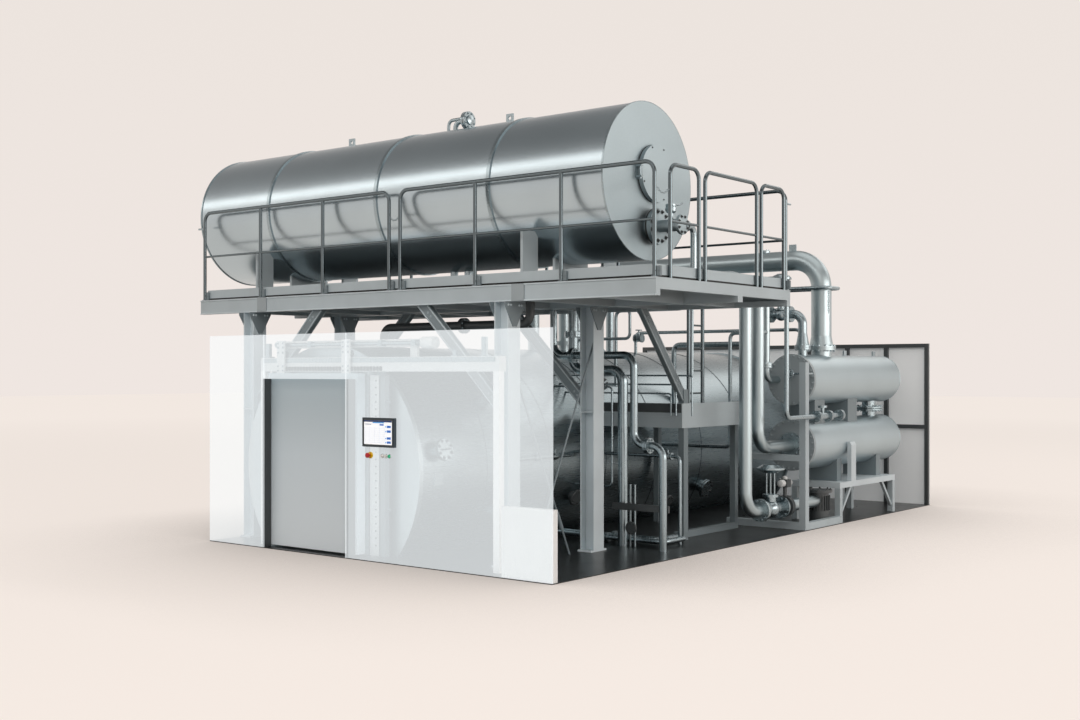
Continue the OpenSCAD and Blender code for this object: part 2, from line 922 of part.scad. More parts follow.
// The two circulation pipes from the vessel top to the exchanger end plates
module circulation_pipes() {
  color("#b9bec0") {
    difference() {
      union() {
        pipe_run(
          [
            [door_x, low_line_y, top_z - 60], [door_x, low_line_y, loop_z], [ex_x, low_line_y, loop_z],
            [ex_x, low_line_y, ex_low_z], [ex_x, ex_y0, ex_low_z]
          ],
          loop_bend, loop_d
        );
        rod([ex_x, ex_y0 - 45, ex_low_z], [0, 1, 0], 45, loop_d * 2.1);
        flange_pair([door_x, low_line_y, top_z + 110], [0, 0, 1], loop_d);
      }
      vessel_solid(vessel_r + 0.2);
    }
    difference() {
      union() {
        pipe_run(
          [
            [door_x, top_line_y, top_z - 60], [door_x, top_line_y, loop_z],
            [top_line_x, top_line_y, loop_z], [top_line_x, top_line_y, ex_top_z],
            [top_line_x, ex_y0, ex_top_z]
          ],
          top_line_d * 1.5, top_line_d
        );
        flange_pair([top_line_x, top_line_y, ex_top_z + 190], [0, 0, 1], top_line_d);
        flange_pair([door_x, top_line_y, top_z + 110], [0, 0, 1], top_line_d);
      }
      vessel_solid(vessel_r + 0.2);
    }
  }
}

module pump_pipe() {
  color("#b9bec0") {
    difference() {
      pipe_run(
        [
          [door_x, pump_line_y, top_z - 60], [door_x, pump_line_y, loop_z],
          [pump_x, pump_line_y, loop_z], [pump_x, pump_line_y, pump_line_z],
          [pump_x, valve_y, pump_line_z]
        ],
        loop_bend, loop_d
      );
      vessel_solid(vessel_r + 0.2);
    }
    rod([pump_x, valve_y - 28, pump_line_z], [0, 1, 0], 28, loop_d * 1.8);
    rod([pump_x, valve_y + valve_l, pump_line_z], [0, 1, 0], wafer_y - valve_y - valve_l, loop_d);
    difference() {
      rod([pump_x, wafer_y + wafer_w, pump_line_z], [0, 1, 0], pump_y - wafer_y - wafer_w, loop_d);
      translate([pump_x, pump_y, gl])
        cylinder(r = pump_r + 0.3, h = 2 * pump_h);
    }
  }
}

module control_valves() {
  color("#9aa0a3") {
    translate([pump_x, valve_y, pump_line_z]) {
      rotate([-90, -90, 0])
        valve_body(loop_d, valve_l);
      translate([0, valve_l / 2, loop_d])
        actuator(loop_d, 300);
    }
    translate([steam_valve_x - steam_valve_l, steam_y, steam_z]) {
      rotate([0, 90, 0])
        rotate([0, 0, 180])
          valve_body(steam_d, steam_valve_l);
      translate([steam_valve_l / 2, 0, steam_d])
        actuator(steam_d, 330);
    }
  }
}

module butterfly_valve() {
  color("#54595c")
    translate([pump_x, wafer_y, pump_line_z]) {
      rotate([-90, 0, 0])
        cylinder(d = loop_d * 1.7, h = wafer_w);
      translate([0, wafer_w / 2, 0])
        cylinder(d = 50, h = 250);
      span([-60, -20, 250], [60, wafer_w + 20, 350]);
    }
}

module pump() {
  color("#54595c")
    translate([pump_x, pump_y, gl]) {
      cylinder(r = pump_r, h = pump_h);
      translate([0, 0, pump_h])
        cylinder(r = pump_r + 45, h = 40);
    }
}

module steam_pipe() {
  seat_x = steam_valve_x - steam_valve_l;
  up_x = seat_x - 260;
  color("#b9bec0") {
    difference() {
      union() {
        pipe_run(
          [
            [steam_valve_x, steam_y, steam_z], [steam_x, steam_y, steam_z],
            [steam_x, steam_y, ex_top_z + ex_r - 120]
          ],
          steam_d * 1.2, steam_d
        );
        translate([steam_x, steam_y, ex_top_z + ex_r + 115])
          cylinder(d1 = steam_d * 1.5, d2 = steam_d, h = 170);
        flange_pair([steam_x, steam_y, ex_top_z + ex_r + 90], [0, 0, 1], steam_d);
      }
      along_exchanger(ex_top_z, ex_shell_r + 0.2, ex_y0, ex_y1);
    }
    difference() {
      pipe_run(
        [
          [door_x, steam_y, top_z - 60], [door_x, steam_y, loop_z], [up_x, steam_y, loop_z],
          [up_x, steam_y, steam_z], [seat_x, steam_y, steam_z]
        ],
        steam_d * 1.2, steam_d
      );
      vessel_solid(vessel_r + 0.2);
    }
  }
}

// Square-cornered routes of the two drain pipes, from the platform down to the floor
drain_a = [
  [drain_ax - 1180, drain_y, deck_z - grate_t], [drain_ax - 1180, drain_y, drain_z],
  [drain_ax, drain_y, drain_z], [drain_ax, drain_y, jog_z],
  [drain_ax + 400, drain_y, jog_z], [drain_ax + 400, drain_y, gl]
];
drain_by = drain_y + 170;
drain_b = [
  [drain_bx - 735, drain_by, deck_z - grate_t], [drain_bx - 735, drain_by, drain_z - 175],
  [drain_bx, drain_by, drain_z - 175], [drain_bx, drain_by, gl]
];

module drain_pipes() {
  color("#9aa0a3") {
    pipe_run(drain_a, drain_d * 1.5, drain_d * 0.9);
    flange_pair([drain_ax + 200, drain_y, jog_z], [1, 0, 0], drain_d);
    flange_pair([drain_ax - 880, drain_y, drain_z], [1, 0, 0], drain_d);
    pipe_run(drain_b, drain_d * 1.5, drain_d * 1.2);
    flange_pair([drain_bx - 735, drain_by, drain_z + 260], [0, 0, 1], drain_d * 1.2);
  }
}

module vent_pipe() {
  color("#54595c")
    difference() {
      union() {
        pipe_run(
          [
            [door_x, vent_y, top_z - 60], [door_x, vent_y, vent_z], [vent_x, vent_y, vent_z],
            [vent_x, vent_y, deck_z - grate_t]
          ],
          drain_d * 1.2, drain_d
        );
        flange_pair([door_x + 1300, vent_y, vent_z], [1, 0, 0], drain_d);
      }
      vessel_solid(vessel_r + 0.2);
    }
}

module small_pipe() {
  x1 = door_x + 350;
  color("#b9bec0")
    difference() {
      union() {
        pipe_run(
          [
            [x1, small_y, vessel_z + vessel_r - 120], [x1, small_y, loop_z],
            [small_x, small_y, loop_z], [small_x, small_y, small_z],
            [small_x, stand_y0 - 150, small_z]
          ],
          small_d * 1.6, small_d
        );
        for (y = [small_valve_y, small_valve_y + 340, stand_y0 - 180])
          flange_pair([small_x, y, small_z], [0, 1, 0], small_d * 1.4);
        rod([small_x, small_valve_y + 20, small_z], [0, 1, 0], 300, small_d * 1.5);
        rod([small_x, small_valve_y + 170, small_z], [0, 0, 1], 130, small_d * 0.8);
        rod([small_x, small_valve_y + 170, small_z + 110], [0, 0, 1], 30, small_d * 2);
      }
      vessel_solid(vessel_r + 0.2);
    }
}

module walkway() {
  z = walk_z - grate_t;
  edge = 60;
  color("#7b8285") {
    span([walk_x0, walk_y0, z], [walk_x1, walk_y1, walk_z]);
    for (y = [walk_y0, walk_y1 - edge])
      span([walk_x0, y, walk_z - walk_h], [walk_x1, y + edge, z - seam]);
    for (x = [walk_x0, walk_x1 - edge])
      span([x, walk_y0 + edge + seam, walk_z - walk_h], [x + edge, walk_y1 - edge - seam, z - seam]);
    span([walk_x0, walk_y0, walk_z + seam], [walk_x1 - toe_t - seam, walk_y0 + toe_t, walk_z + toe_h]);
    span([walk_x1 - toe_t, walk_y0, walk_z + seam], [walk_x1, walk_y1, walk_z + toe_h]);
  }
}

// Legs under the walkway, and the stub above its corner that the stay is fixed to
module walkway_posts() {
  z = walk_z - walk_h;
  y = walk_post_y;
  x = walk_post_x - walk_leg / 2;
  sill_x = walk_x1 - 220;
  color("#7b8285") {
    span([x, y, gl], [x + walk_leg, y + 100, z]);
    span([x, y, walk_z], [x + walk_leg, y + 100, walk_post_h]);
    span([sill_x, walk_y1 - 80, gl], [sill_x + 80, walk_y1, z]);
    span([sill_x, y + 100 + seam, gl], [sill_x + 80, walk_y1 - 80 - seam, gl + 80]);
    for (yy = [walk_y0, walk_y1 - 80])
      span([walk_x0 + 20, yy, gl], [walk_x0 + 100, yy + 80, z]);
  }
}

// The sloping stay from the walkway's stub post up to a platform joist
module walkway_stay() {
  y1 = walk_post_y;
  run = 860;
  foot_z = walk_post_h - 60;
  a = atan2(beam_z - foot_z, run);
  color("#6a7174")
    intersection() {
      translate([walk_post_x, y1, foot_z])
        rotate([-a, 0, 0])
          span([-30, -2 * run, -55], [30, 300, 55]);
      span([walk_post_x - 40, y1 - 2 * run, walk_z], [walk_post_x + 40, y1, beam_z]);
    }
}

floor_plate();
front_wall_left();
front_wall_right();
front_wall_header();
door_jambs();
door_leaf();
door_hangers();
door_rollers();
door_rail();
door_rail_posts();
door_drive();
control_screen();
service_box();
back_wall();
back_wall_posts();
back_wall_rails();
rear_door();
vessel_shell();
vessel_plates();
vessel_mouths();
vessel_nozzles();
chamber_rails();
columns();
column_gussets();
knee_braces();
tie_rods();
platform_beams();
platform_joists();
platform_deck();
toe_boards();
handrails_long();
handrails_end();
tank_shell();
tank_ends();
tank_bands();
tank_saddles();
tank_cover();
tank_fittings();
exchanger_shells();
exchanger_plates();
exchanger_saddles();
exchanger_spool();
exchanger_stand();
skid_frame();
overhead_pipe();
circulation_pipes();
pump_pipe();
control_valves();
butterfly_valve();
pump();
steam_pipe();
drain_pipes();
vent_pipe();
small_pipe();
walkway();
walkway_posts();
walkway_stay();
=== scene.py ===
# %% [markdown]
# # A pass-through retort sterilizer
# A long pressure vessel stands behind a translucent loading wall. A steel platform over it
# carries a storage tank, and two heat exchangers stand beside it with their pipework.
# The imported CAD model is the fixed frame: its solids stay where they are, and this script adds
# finishes, fasteners, fittings, light and the camera.

# %% Load the frame
import math
import bmesh
import bpy
from mathutils import Matrix, Vector


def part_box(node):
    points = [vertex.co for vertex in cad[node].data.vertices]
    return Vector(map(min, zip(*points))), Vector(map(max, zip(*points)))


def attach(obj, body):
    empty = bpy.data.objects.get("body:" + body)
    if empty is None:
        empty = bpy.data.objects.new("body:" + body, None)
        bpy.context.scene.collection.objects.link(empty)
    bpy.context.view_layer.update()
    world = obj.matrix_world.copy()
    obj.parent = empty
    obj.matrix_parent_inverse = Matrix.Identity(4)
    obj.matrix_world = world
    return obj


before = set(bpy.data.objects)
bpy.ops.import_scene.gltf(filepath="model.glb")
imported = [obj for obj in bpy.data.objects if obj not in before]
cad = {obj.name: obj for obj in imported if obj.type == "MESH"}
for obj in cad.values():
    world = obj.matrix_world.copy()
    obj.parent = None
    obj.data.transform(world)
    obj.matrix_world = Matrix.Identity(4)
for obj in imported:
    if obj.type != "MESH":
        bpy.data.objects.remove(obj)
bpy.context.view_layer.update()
scene = bpy.context.scene

# %% [markdown]
# The picture was taken with a level camera, so upright edges stay upright. A camera tilted down
# would frame the plant too, but its columns would lean. So the camera stays level, and a small
# vertical shift places the horizon a little below the middle of the picture.

# %% Camera
picture_width, horizon_drop = 1080, 11  # pixels
camera_data = bpy.data.cameras.new("camera")
camera_data.sensor_width = 36.0
camera_data.lens = 43.33
camera_data.shift_y = horizon_drop / picture_width
camera = bpy.data.objects.new("camera", camera_data)
camera.location = (10.346, -14.771, 2.0756)
camera.rotation_euler = (math.pi / 2, 0, math.radians(38.2))
scene.collection.objects.link(camera)
scene.camera = camera
scene.view_settings.view_transform = "Standard"
print("camera at", tuple(camera.location), "lens", camera_data.lens)

# %% [markdown]
# Colours are written as sRGB hex values and turned to linear numbers in one place. One small
# function adds a node with its settings and its links, so that each material below reads as a
# list of what it is made of. A setting can be a property of the node, a value on one of its
# sockets, an output to link to that socket, or the stops of a colour ramp.

# %% Colour and node helpers
def linear(code):
    parts = [int(code[i:i + 2], 16) / 255 for i in (1, 3, 5)]
    parts = [c / 12.92 if c <= 0.04045 else ((c + 0.055) / 1.055) ** 2.4 for c in parts]
    return (*parts, 1.0)


def darker(code, share):
    return tuple(c * (1 - share) for c in linear(code)[:3]) + (1,)


def set_up(node, settings):
    for key, value in settings.items():
        if key == "stops":
            points = node.color_ramp.elements
            while len(points) < len(value):
                points.new(0.5)
            for point, (place, colour) in zip(points, value):
                point.position, point.color = place, colour
        elif isinstance(value, bpy.types.NodeSocket):
            node.id_data.links.new(value, node.inputs[key])
        elif isinstance(key, str) and hasattr(node, key):
            setattr(node, key, value)
        else:
            node.inputs[key].default_value = value
    return node


def add(tree, kind, settings=None):
    return set_up(tree.nodes.new("ShaderNode" + kind), settings or {})


print("mid grey #808080 is", round(linear("#808080")[0], 3), "in linear light")

# %% [markdown]
# Every finish is one Principled surface. Its plain values are set on its own sockets, so that the
# exported model keeps them, and only what varies over the surface is linked.

# %% Start of a finish
def change(mat, settings):
    set_up(mat.node_tree.nodes["surface"], settings)
    return mat


def finish(name, settings):
    mat = bpy.data.materials.new(name)
    mat.use_nodes = True
    mat.node_tree.nodes["Principled BSDF"].name = "surface"
    return change(mat, settings)


# %% [markdown]
# Rolled stainless sheet is mill-finished and then brushed along its length. To the eye it is a
# soft mirror: it shows broad bands of the light, with faint streaks and a slow unevenness of the
# sheet, about 770 mm across. Real brush streaks are under a millimetre wide. They are too fine to
# show from here, so they are drawn 6 to 17 mm wide; each finish gives its own sizes in millimetres
# along x, y and z. An anisotropic surface could give the same stretch of the highlights, but noise
# drawn out along the brushing works in any place, without a map of directions.

# %% Stainless steel
def stainless(name, code, rough, streak_mm, spread=0.05, wave=0.02):
    mat = finish(name, {"Metallic": 1.0})
    tree = mat.node_tree
    place = add(tree, "TexCoord").outputs["Object"]
    stretch = add(tree, "Mapping", {"Scale": [1000 / mm for mm in streak_mm], "Vector": place})
    grain = add(tree, "TexNoise", {"Scale": 1.0, "Detail": 4.0, "Vector": stretch.outputs["Vector"]})
    cloud = add(tree, "TexNoise", {"Scale": 1000 / 770, "Detail": 3.0, "Vector": place})
    shade = add(tree, "ValToRGB", {
        "stops": [(0.3, darker(code, 0.07)), (0.7, linear(code))], "Fac": cloud.outputs["Fac"],
    })
    gloss = add(tree, "MapRange", {
        "From Min": 0.25, "From Max": 0.75, "To Min": rough - spread, "To Max": rough + spread,
        "Value": grain.outputs["Fac"],
    })
    bump = add(tree, "Bump", {"Strength": wave, "Distance": 0.01, "Height": grain.outputs["Fac"]})
    return change(mat, {
        "Base Color": shade.outputs["Color"], "Roughness": gloss.outputs["Result"],
        "Normal": bump.outputs["Normal"],
    })


# %% [markdown]
# The metals differ in polish. The tank is the brightest, and the vessel's sheet is drawn greyer as painted
# shade, for the shade under the platform and the dark floor it mirrors. The exchangers are blasted dull, and
# the pipes and handrails are drawn tube. One function with a few values makes them all, so the metals can be
# compared line by line.

# %% Metals of the plant
along_x, along_y, along_z = (330, 11, 11), (11, 330, 11), (17, 17, 125)
tank_sheet = stainless("stainless sheet, brushed round the tank", "#BCC9CF", 0.25, along_x, 0.02, 0.001)
# The vessel's greyer colour is painted shade.
vessel_sheet_painted_shade = stainless(
    "stainless sheet, brushed round the vessel", "#97A4A9", 0.28, along_y, 0.02, 0.0005,
)
shell_sheet = stainless("stainless sheet, glass-bead blasted", "#B5C2C7", 0.40, (6, 6, 6))
pipe_steel = stainless("stainless tube, polished", "#9CA9AE", 0.28, along_z, 0.02, 0.0005)
wide_tube = stainless("stainless tube, satin", "#B3C0C4", 0.36, along_z, 0.02, 0.0005)
fitting_steel = stainless("stainless fitting, turned", "#A2AFB4", 0.26, (8, 8, 8))
seam_steel = stainless("stainless weld, heat-tinted", "#596166", 0.35, (8, 8, 8))
rail_steel = stainless("handrail tube, satin stainless", "#6A7478", 0.20, (17, 17, 17), 0.03, 0.002)
end_sheet = stainless("stainless disc, satin", "#A6B3B8", 0.48, (40, 17, 17))
print(len(bpy.data.materials), "materials with the metals, the frame's own among them")

# %% [markdown]
# The platform steel is sprayed with a grey two-pack paint: a dull coat with a fine orange-peel
# surface of about 3 mm and a colour that is slightly uneven over half a metre. Enamel, powder coat,
# rubber and moulded plastic have the same kind of skin, so they share these nodes with other values.

# %% Painted steel
def paint(name, code, rough=0.45, uneven=0.10, peel=0.05):
    mat = finish(name, {"IOR": 1.5, "Roughness": rough})
    tree = mat.node_tree
    place = add(tree, "TexCoord").outputs["Object"]
    cloud = add(tree, "TexNoise", {"Scale": 1000 / 450, "Detail": 5.0, "Vector": place})
    fine = add(tree, "TexNoise", {"Scale": 1000 / 3, "Detail": 2.0, "Vector": place})
    shade = add(tree, "ValToRGB", {
        "stops": [(0.32, darker(code, uneven)), (0.68, linear(code))], "Fac": cloud.outputs["Fac"],
    })
    gloss = add(tree, "MapRange", {
        "To Min": rough - 0.06, "To Max": rough + 0.06, "Value": cloud.outputs["Fac"],
    })
    bump = add(tree, "Bump", {"Strength": peel, "Distance": 0.002, "Height": fine.outputs["Fac"]})
    return change(mat, {
        "Base Color": shade.outputs["Color"], "Roughness": gloss.outputs["Result"],
        "Normal": bump.outputs["Normal"],
    })


beam_paint = paint("two-pack paint, mid grey", "#B5C1C6")
# The columns wear the platform grey drawn lighter: painted light for their bright flanges.
column_paint_lit = paint("two-pack paint, column grey, lightened as painted light", "#CDD8DD")
brace_paint = paint("two-pack paint, brace grey", "#7B878C")
dark_paint = paint("two-pack paint, dark grey", "#43484A")
# The floor plate's near-black is painted shade: it stands for the shade on the ground under the plant.
floor_painted_shade = paint("floor plate, black, painted shade", "#0D0E0F", 0.30)
white_paint = paint("powder coat, white", "#F2F3F2", 0.40, 0.02)
gear_paint = paint("powder coat, light grey", "#D9DCDC", 0.40, 0.04)
plate_paint = paint("two-pack paint, end-plate grey", "#9CA6AA", 0.42)
iron = paint("cast iron, enamelled", "#4A4F51", 0.38)
rubber = paint("gasket rubber", "#17191A", 0.70)
print(len(bpy.data.materials), "materials with the paints")

# %% [markdown]
# The door is a brushed and lacquered sheet. It shades evenly from a deeper grey at the top to
# a lighter grey near the floor, over its height of about two metres, with an upright brushed grain
# drawn 8 mm wide so that it shows. A lamp could make that shading, but it would fall on the whole
# wall, so the sheet's own colour carries it.

# %% Door finish
door_paint = finish("lacquered steel sheet, door grey", {"Roughness": 0.38, "IOR": 1.5})
tree = door_paint.node_tree
place = add(tree, "TexCoord").outputs["Object"]
height = add(tree, "SeparateXYZ", {"Vector": place})
share = add(tree, "MapRange", {"From Min": 0.0, "From Max": 2.0, "Value": height.outputs["Z"]})
shade = add(tree, "ValToRGB", {"stops": [
    (0.0, linear("#E9F4FA")), (0.55, linear("#DAE8F0")), (0.85, linear("#C2D2DA")), (1.0, linear("#B7C8D0")),
], "Fac": share.outputs["Result"]})
stretch = add(tree, "Mapping", {"Scale": [1000 / mm for mm in (8, 8, 400)], "Vector": place})
grain = add(tree, "TexNoise", {"Scale": 1.0, "Detail": 3.0, "Vector": stretch.outputs["Vector"]})
gloss = add(tree, "MapRange", {"To Min": 0.32, "To Max": 0.44, "Value": grain.outputs["Fac"]})
bump = add(tree, "Bump", {"Strength": 0.02, "Distance": 0.001, "Height": grain.outputs["Fac"]})
change(door_paint, {
    "Base Color": shade.outputs["Color"], "Roughness": gloss.outputs["Result"],
    "Normal": bump.outputs["Normal"],
})
print("door finish", len(tree.nodes), "nodes")

# %% [markdown]
# The loading wall is a frosted acrylic sheet, bright from the room light that spreads inside it,
# and the plant behind it shows as a pale ghost. Each face covers about a third of what is behind
# it. The light inside the sheet is drawn as a glow, because real scattering in so thin a sheet
# would need far more samples and would blur the ghost.

# %% Translucent wall
frosted = change(paint("acrylic sheet, frosted", "#797E81", 0.45, 0.03, 0.02), {
    "IOR": 1.49, "Specular IOR Level": 0.0, "Alpha": 0.36,
    "Emission Color": linear("#F8FDFF"), "Emission Strength": 0.91,
})
print(frosted.name)

# %% [markdown]
# The panels of the unloading wall are thin white sheets. They are almost opaque, but some of the
# light on one side comes through to the other, which lifts their shaded side a little. Here too a
# weak glow stands for that light.

# %% Unloading wall panels
panel_sheet = change(paint("polycarbonate sheet, opal white", "#EFF2F3", 0.50, 0.03, 0.02), {
    "IOR": 1.58, "Emission Color": linear("#F4F8FA"), "Emission Strength": 0.10,
})
print(panel_sheet.name)

# %% [markdown]
# The platform's deck is galvanised steel grating with bars about 34 mm apart. Real bars would take very many
# faces. The deck is only seen from far off, so a pattern of dark cells between bright bars, with a little
# bump, is drawn on the plate. The dark cells are painted shade, for the shade between the bars.

# %% Grating
grating = finish("steel grating, galvanised", {"Metallic": 1.0, "Roughness": 0.5})
tree = grating.node_tree
# The dark cell colours are painted shade between the bars.
cells = add(tree, "TexBrick", {
    "Scale": 1000 / 34, "Mortar Size": 0.09, "Brick Width": 1.0, "Row Height": 1.0, "offset": 0.0,
    "Color1": linear("#34383A"), "Color2": linear("#3C4143"), "Mortar": linear("#A3AAAC"),
    "Vector": add(tree, "TexCoord").outputs["Object"],
})
bars = add(tree, "Bump", {"Strength": 0.3, "Distance": 0.004, "Height": cells.outputs["Fac"]})
change(grating, {"Base Color": cells.outputs["Color"], "Normal": bars.outputs["Normal"]})
print(grating.name)

# %% [markdown]
# The CAD solids keep their shapes and take these finishes. One table names each finish once, with
# the nodes that wear it, so a node that was forgotten shows in the count.

# %% Give every CAD node its finish
worn = {
    tank_sheet: "tank_shell", end_sheet: "tank_ends tank_cover",
    vessel_sheet_painted_shade: "vessel_shell vessel_mouths", shell_sheet: "exchanger_shells vessel_plates",
    wide_tube: "overhead_pipe circulation_pipes pump_pipe",
    pipe_steel: "drain_pipes steam_pipe small_pipe",
    fitting_steel: "vessel_nozzles tank_bands tank_fittings exchanger_spool control_valves",
    rail_steel: "handrails_long handrails_end",
    beam_paint: "platform_beams platform_joists toe_boards tank_saddles skid_frame walkway",
    column_paint_lit: "columns exchanger_stand",
    brace_paint: "knee_braces column_gussets walkway_stay exchanger_saddles chamber_rails tie_rods "
                 "walkway_posts",
    plate_paint: "exchanger_plates",
    dark_paint: "back_wall_posts back_wall_rails control_screen door_jambs",
    # The floor plate's black finish is painted shade.
    floor_painted_shade: "floor_plate", iron: "pump butterfly_valve vent_pipe door_rollers",
    white_paint: "service_box door_rail_posts", gear_paint: "door_rail door_drive door_hangers",
    door_paint: "door_leaf rear_door", panel_sheet: "back_wall",
    frosted: "front_wall_left front_wall_right front_wall_header", grating: "platform_deck",
}
for mat, names in worn.items():
    for name in names.split():
        cad[name].data.materials.clear()
        cad[name].data.materials.append(mat)
print(sum(len(names.split()) for names in worn.values()), "of", len(cad), "CAD nodes have a finish")

# %% [markdown]
# Small parts are made in mesh code, because ready-made cylinders and boxes have no flanges, domes
# or broken edges. A lathe turns a profile round an axis, and a disc is a short lathe with its edges
# broken. Places are given as they were measured on the plant: millimetres along the wall, from the
# loading wall, and up. Sizes of parts are in metres.

# %% Places and turned parts
X, Y, Z = Vector((1, 0, 0)), Vector((0, 1, 0)), Vector((0, 0, 1))
wall_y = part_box("front_wall_left")[0][1]
print("loading wall at y", wall_y)


def at(x, y, z):
    return Vector((x / 1000, wall_y + y / 1000, z / 1000))


def turn(axis):
    return Z.rotation_difference(Vector(axis)).to_matrix().to_4x4()


def skin(bm, rows):
    steps = len(rows[0])
    for low, high in zip(rows, rows[1:]):
        for k in range(steps):
            bm.faces.new((low[k - 1], low[k], high[k], high[k - 1]))
    bm.faces.new(rows[0][::-1])
    bm.faces.new(rows[-1])


def lathe(bm, place, axis, profile, steps=32):
    spin = Matrix.Translation(place) @ turn(axis)
    turns = [k * math.tau / steps for k in range(steps)]
    skin(bm, [
        [bm.verts.new(spin @ Vector((radius * math.cos(a), radius * math.sin(a), height))) for a in turns]
        for radius, height in profile
    ])


def disc(bm, place, axis, radius, depth, edge=0.002, steps=32):
    profile = [(radius - edge, 0), (radius, edge), (radius, depth - edge), (radius - edge, depth)]
    lathe(bm, place, axis, profile, steps)


# %% [markdown]
# A bolt is a washer, a hexagon head and the end of the shank. Its parts are shares of one size, so
# that small and large bolts look alike. Flanges carry their bolts in a circle.

# %% Bolts
def bolt(bm, place, axis, size):
    disc(bm, place, axis, size * 0.95, size * 0.16, size * 0.03, 14)
    for steps, profile in (
        (6, [(0.62, 0.16), (0.62, 0.62), (0.5, 0.72)]),
        (10, [(0.32, 0.7), (0.32, 1.0), (0.26, 1.06)]),
    ):
        lathe(bm, place, axis, [(size * radius, size * height) for radius, height in profile], steps)


def bolt_circle(bm, centre, axis, radius, count, size):
    spin = turn(axis)
    for k in range(count):
        angle = (k + 0.5) * math.tau / count
        place = centre + spin @ Vector((radius * math.cos(angle), radius * math.sin(angle), 0))
        bolt(bm, place, axis, size)


sample = bmesh.new()
bolt(sample, Vector(), Z, 0.02)
print("one bolt has", len(sample.faces), "faces")
sample.free()

# %% [markdown]
# A plate is a box with broken edges, since a sharp edge catches no light. A tube follows a path
# whose corners are rounded first, as a bending machine does. A curve object with a bevel would give
# the same tube, but several tubes in one mesh make one tidy piece.

# %% Plates and tubes
def plate(bm, low, high, edge=0.002):
    made = bmesh.ops.create_cube(bm, size=1.0)["verts"]
    for v in made:
        v.co = Vector(high[i] if v.co[i] > 0 else low[i] for i in range(3))
    edges = list(dict.fromkeys(e for v in made for e in v.link_edges))
    bmesh.ops.bevel(bm, geom=edges, offset=edge, segments=2, affect="EDGES")


def rounded(points, bend):
    path = [points[0]]
    for before, corner, after in zip(points, points[1:], points[2:]):
        a, b = (corner - before), (after - corner)
        cut = min(bend, a.length * 0.49, b.length * 0.49)
        start, end = corner - a.normalized() * cut, corner + b.normalized() * cut
        steps = (0, 0.17, 0.33, 0.5, 0.67, 0.83, 1)
        path += [start.lerp(corner, t).lerp(corner.lerp(end, t), t) for t in steps]
    return path + [points[-1]]


def tube(bm, points, radius, bend=0.06, steps=14):
    path = rounded([Vector(p) for p in points], bend)
    turns = [k * math.tau / steps for k in range(steps)]
    rows, side = [], None
    for k, point in enumerate(path):
        ahead = (path[min(k + 1, len(path) - 1)] - path[max(k - 1, 0)]).normalized()
        side = (ahead.orthogonal() if side is None else side - ahead * side.dot(ahead)).normalized()
        up = ahead.cross(side)
        rows.append([bm.verts.new(point + radius * (side * math.cos(t) + up * math.sin(t))) for t in turns])
    skin(bm, rows)


def ring(middle, across, up, steps):
    turns = (k * math.tau / steps for k in range(steps + 1))
    return [middle + across * math.cos(a) + up * math.sin(a) for a in turns]


# %% [markdown]
# A finished mesh becomes an object that rides on a body of the plant: on "plant", which stands
# still, or on "door", which slides. Faces are shaded smooth, with sharp edges kept from 35 degrees.

# %% Put a piece on the plant
def put(name, bm, mat, body="plant"):
    bmesh.ops.recalc_face_normals(bm, faces=bm.faces)
    mesh = bpy.data.meshes.new(name)
    bm.to_mesh(mesh)
    bm.free()
    mesh.polygons.foreach_set("use_smooth", [True] * len(mesh.polygons))
    mesh.set_sharp_from_angle(angle=math.radians(35))
    mesh.materials.append(mat)
    piece = bpy.data.objects.new(name, mesh)
    scene.collection.objects.link(piece)
    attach(piece, body)
    print(name, len(mesh.polygons), "faces")


# %% [markdown]
# Every pipe joint is a pair of flanges drawn together by bolts. The first list gives the middle of
# each joint, the pipe's direction, the flange radius in millimetres and the number of bolts. Each
# bolt shows on both sides of its joint. The second list has the flanges seen from one side only.
# Bolts drawn in the finish would vanish in profile, so they are real.

# %% Flange bolts
joints = [
    (at(2190, 6750, 2395), Z, 202, 12), (at(-1750, 6750, 2369), Z, 202, 12),
    (at(2240, 6080, 2395), Z, 108, 8), (at(2190, 8330, 1520), Z, 180, 8),
    (at(1990, 5520, 2150), Z, 86, 8), (at(2040, 2600, 1213), X, 90, 8),
    (at(960, 2600, 2262), X, 90, 8), (at(830, 2770, 2522), Z, 108, 8),
    (at(350, 1300, 2600), X, 90, 8), (at(2665, 5640, 1480), Y, 75, 6),
    (at(2665, 5980, 1480), Y, 75, 6), (at(2665, 6320, 1480), Y, 75, 6),
]
single = [
    (at(2400, 4572, 320), -Y, 144), (at(2400, 4628, 320), Y, 144), (at(2400, 5112, 320), -Y, 144),
    (at(2190, 5795, 1080), -Y, 168), (at(1788, 6080, 2850), X, 108), (at(2052, 6080, 2850), -X, 108),
]
half_joint = 0.028
bm = bmesh.new()
for centre, axis, radius, count in joints:
    size = 0.022 if radius > 150 else 0.016
    for side in (axis, -axis):
        bolt_circle(bm, centre + side * half_joint, side, (radius - 22) / 1000, count, size)
for place, axis, radius in single:
    bolt_circle(bm, place, axis, (radius - 24) / 1000, 12, 0.02)
put("pipe_flange_bolts", bm, fitting_steel)

# %% [markdown]
# The end of the storage tank has a round manhole cover and a service flange, each on a dark gasket and held
# by bolts. The solids give the covers, so only bolts and gaskets are added. Each gasket is a thin dark disc
# that stands out past its cover's rim, partly a real gasket and partly painted shadow, for the dark line of
# shade along the rim.

# %% Tank end bolts and gaskets
cover_y, cover_z = 1590, 4162
flange_y, flange_z = 1540, 3597
bm = bmesh.new()
bolt_circle(bm, at(2830, cover_y, cover_z), X, 0.285, 8, 0.011)
bolt_circle(bm, at(2885, flange_y, flange_z), X, 0.158, 12, 0.024)
bolt_circle(bm, at(3172, flange_y, flange_z), X, 0.086, 8, 0.018)
put("tank_end_bolts", bm, iron)

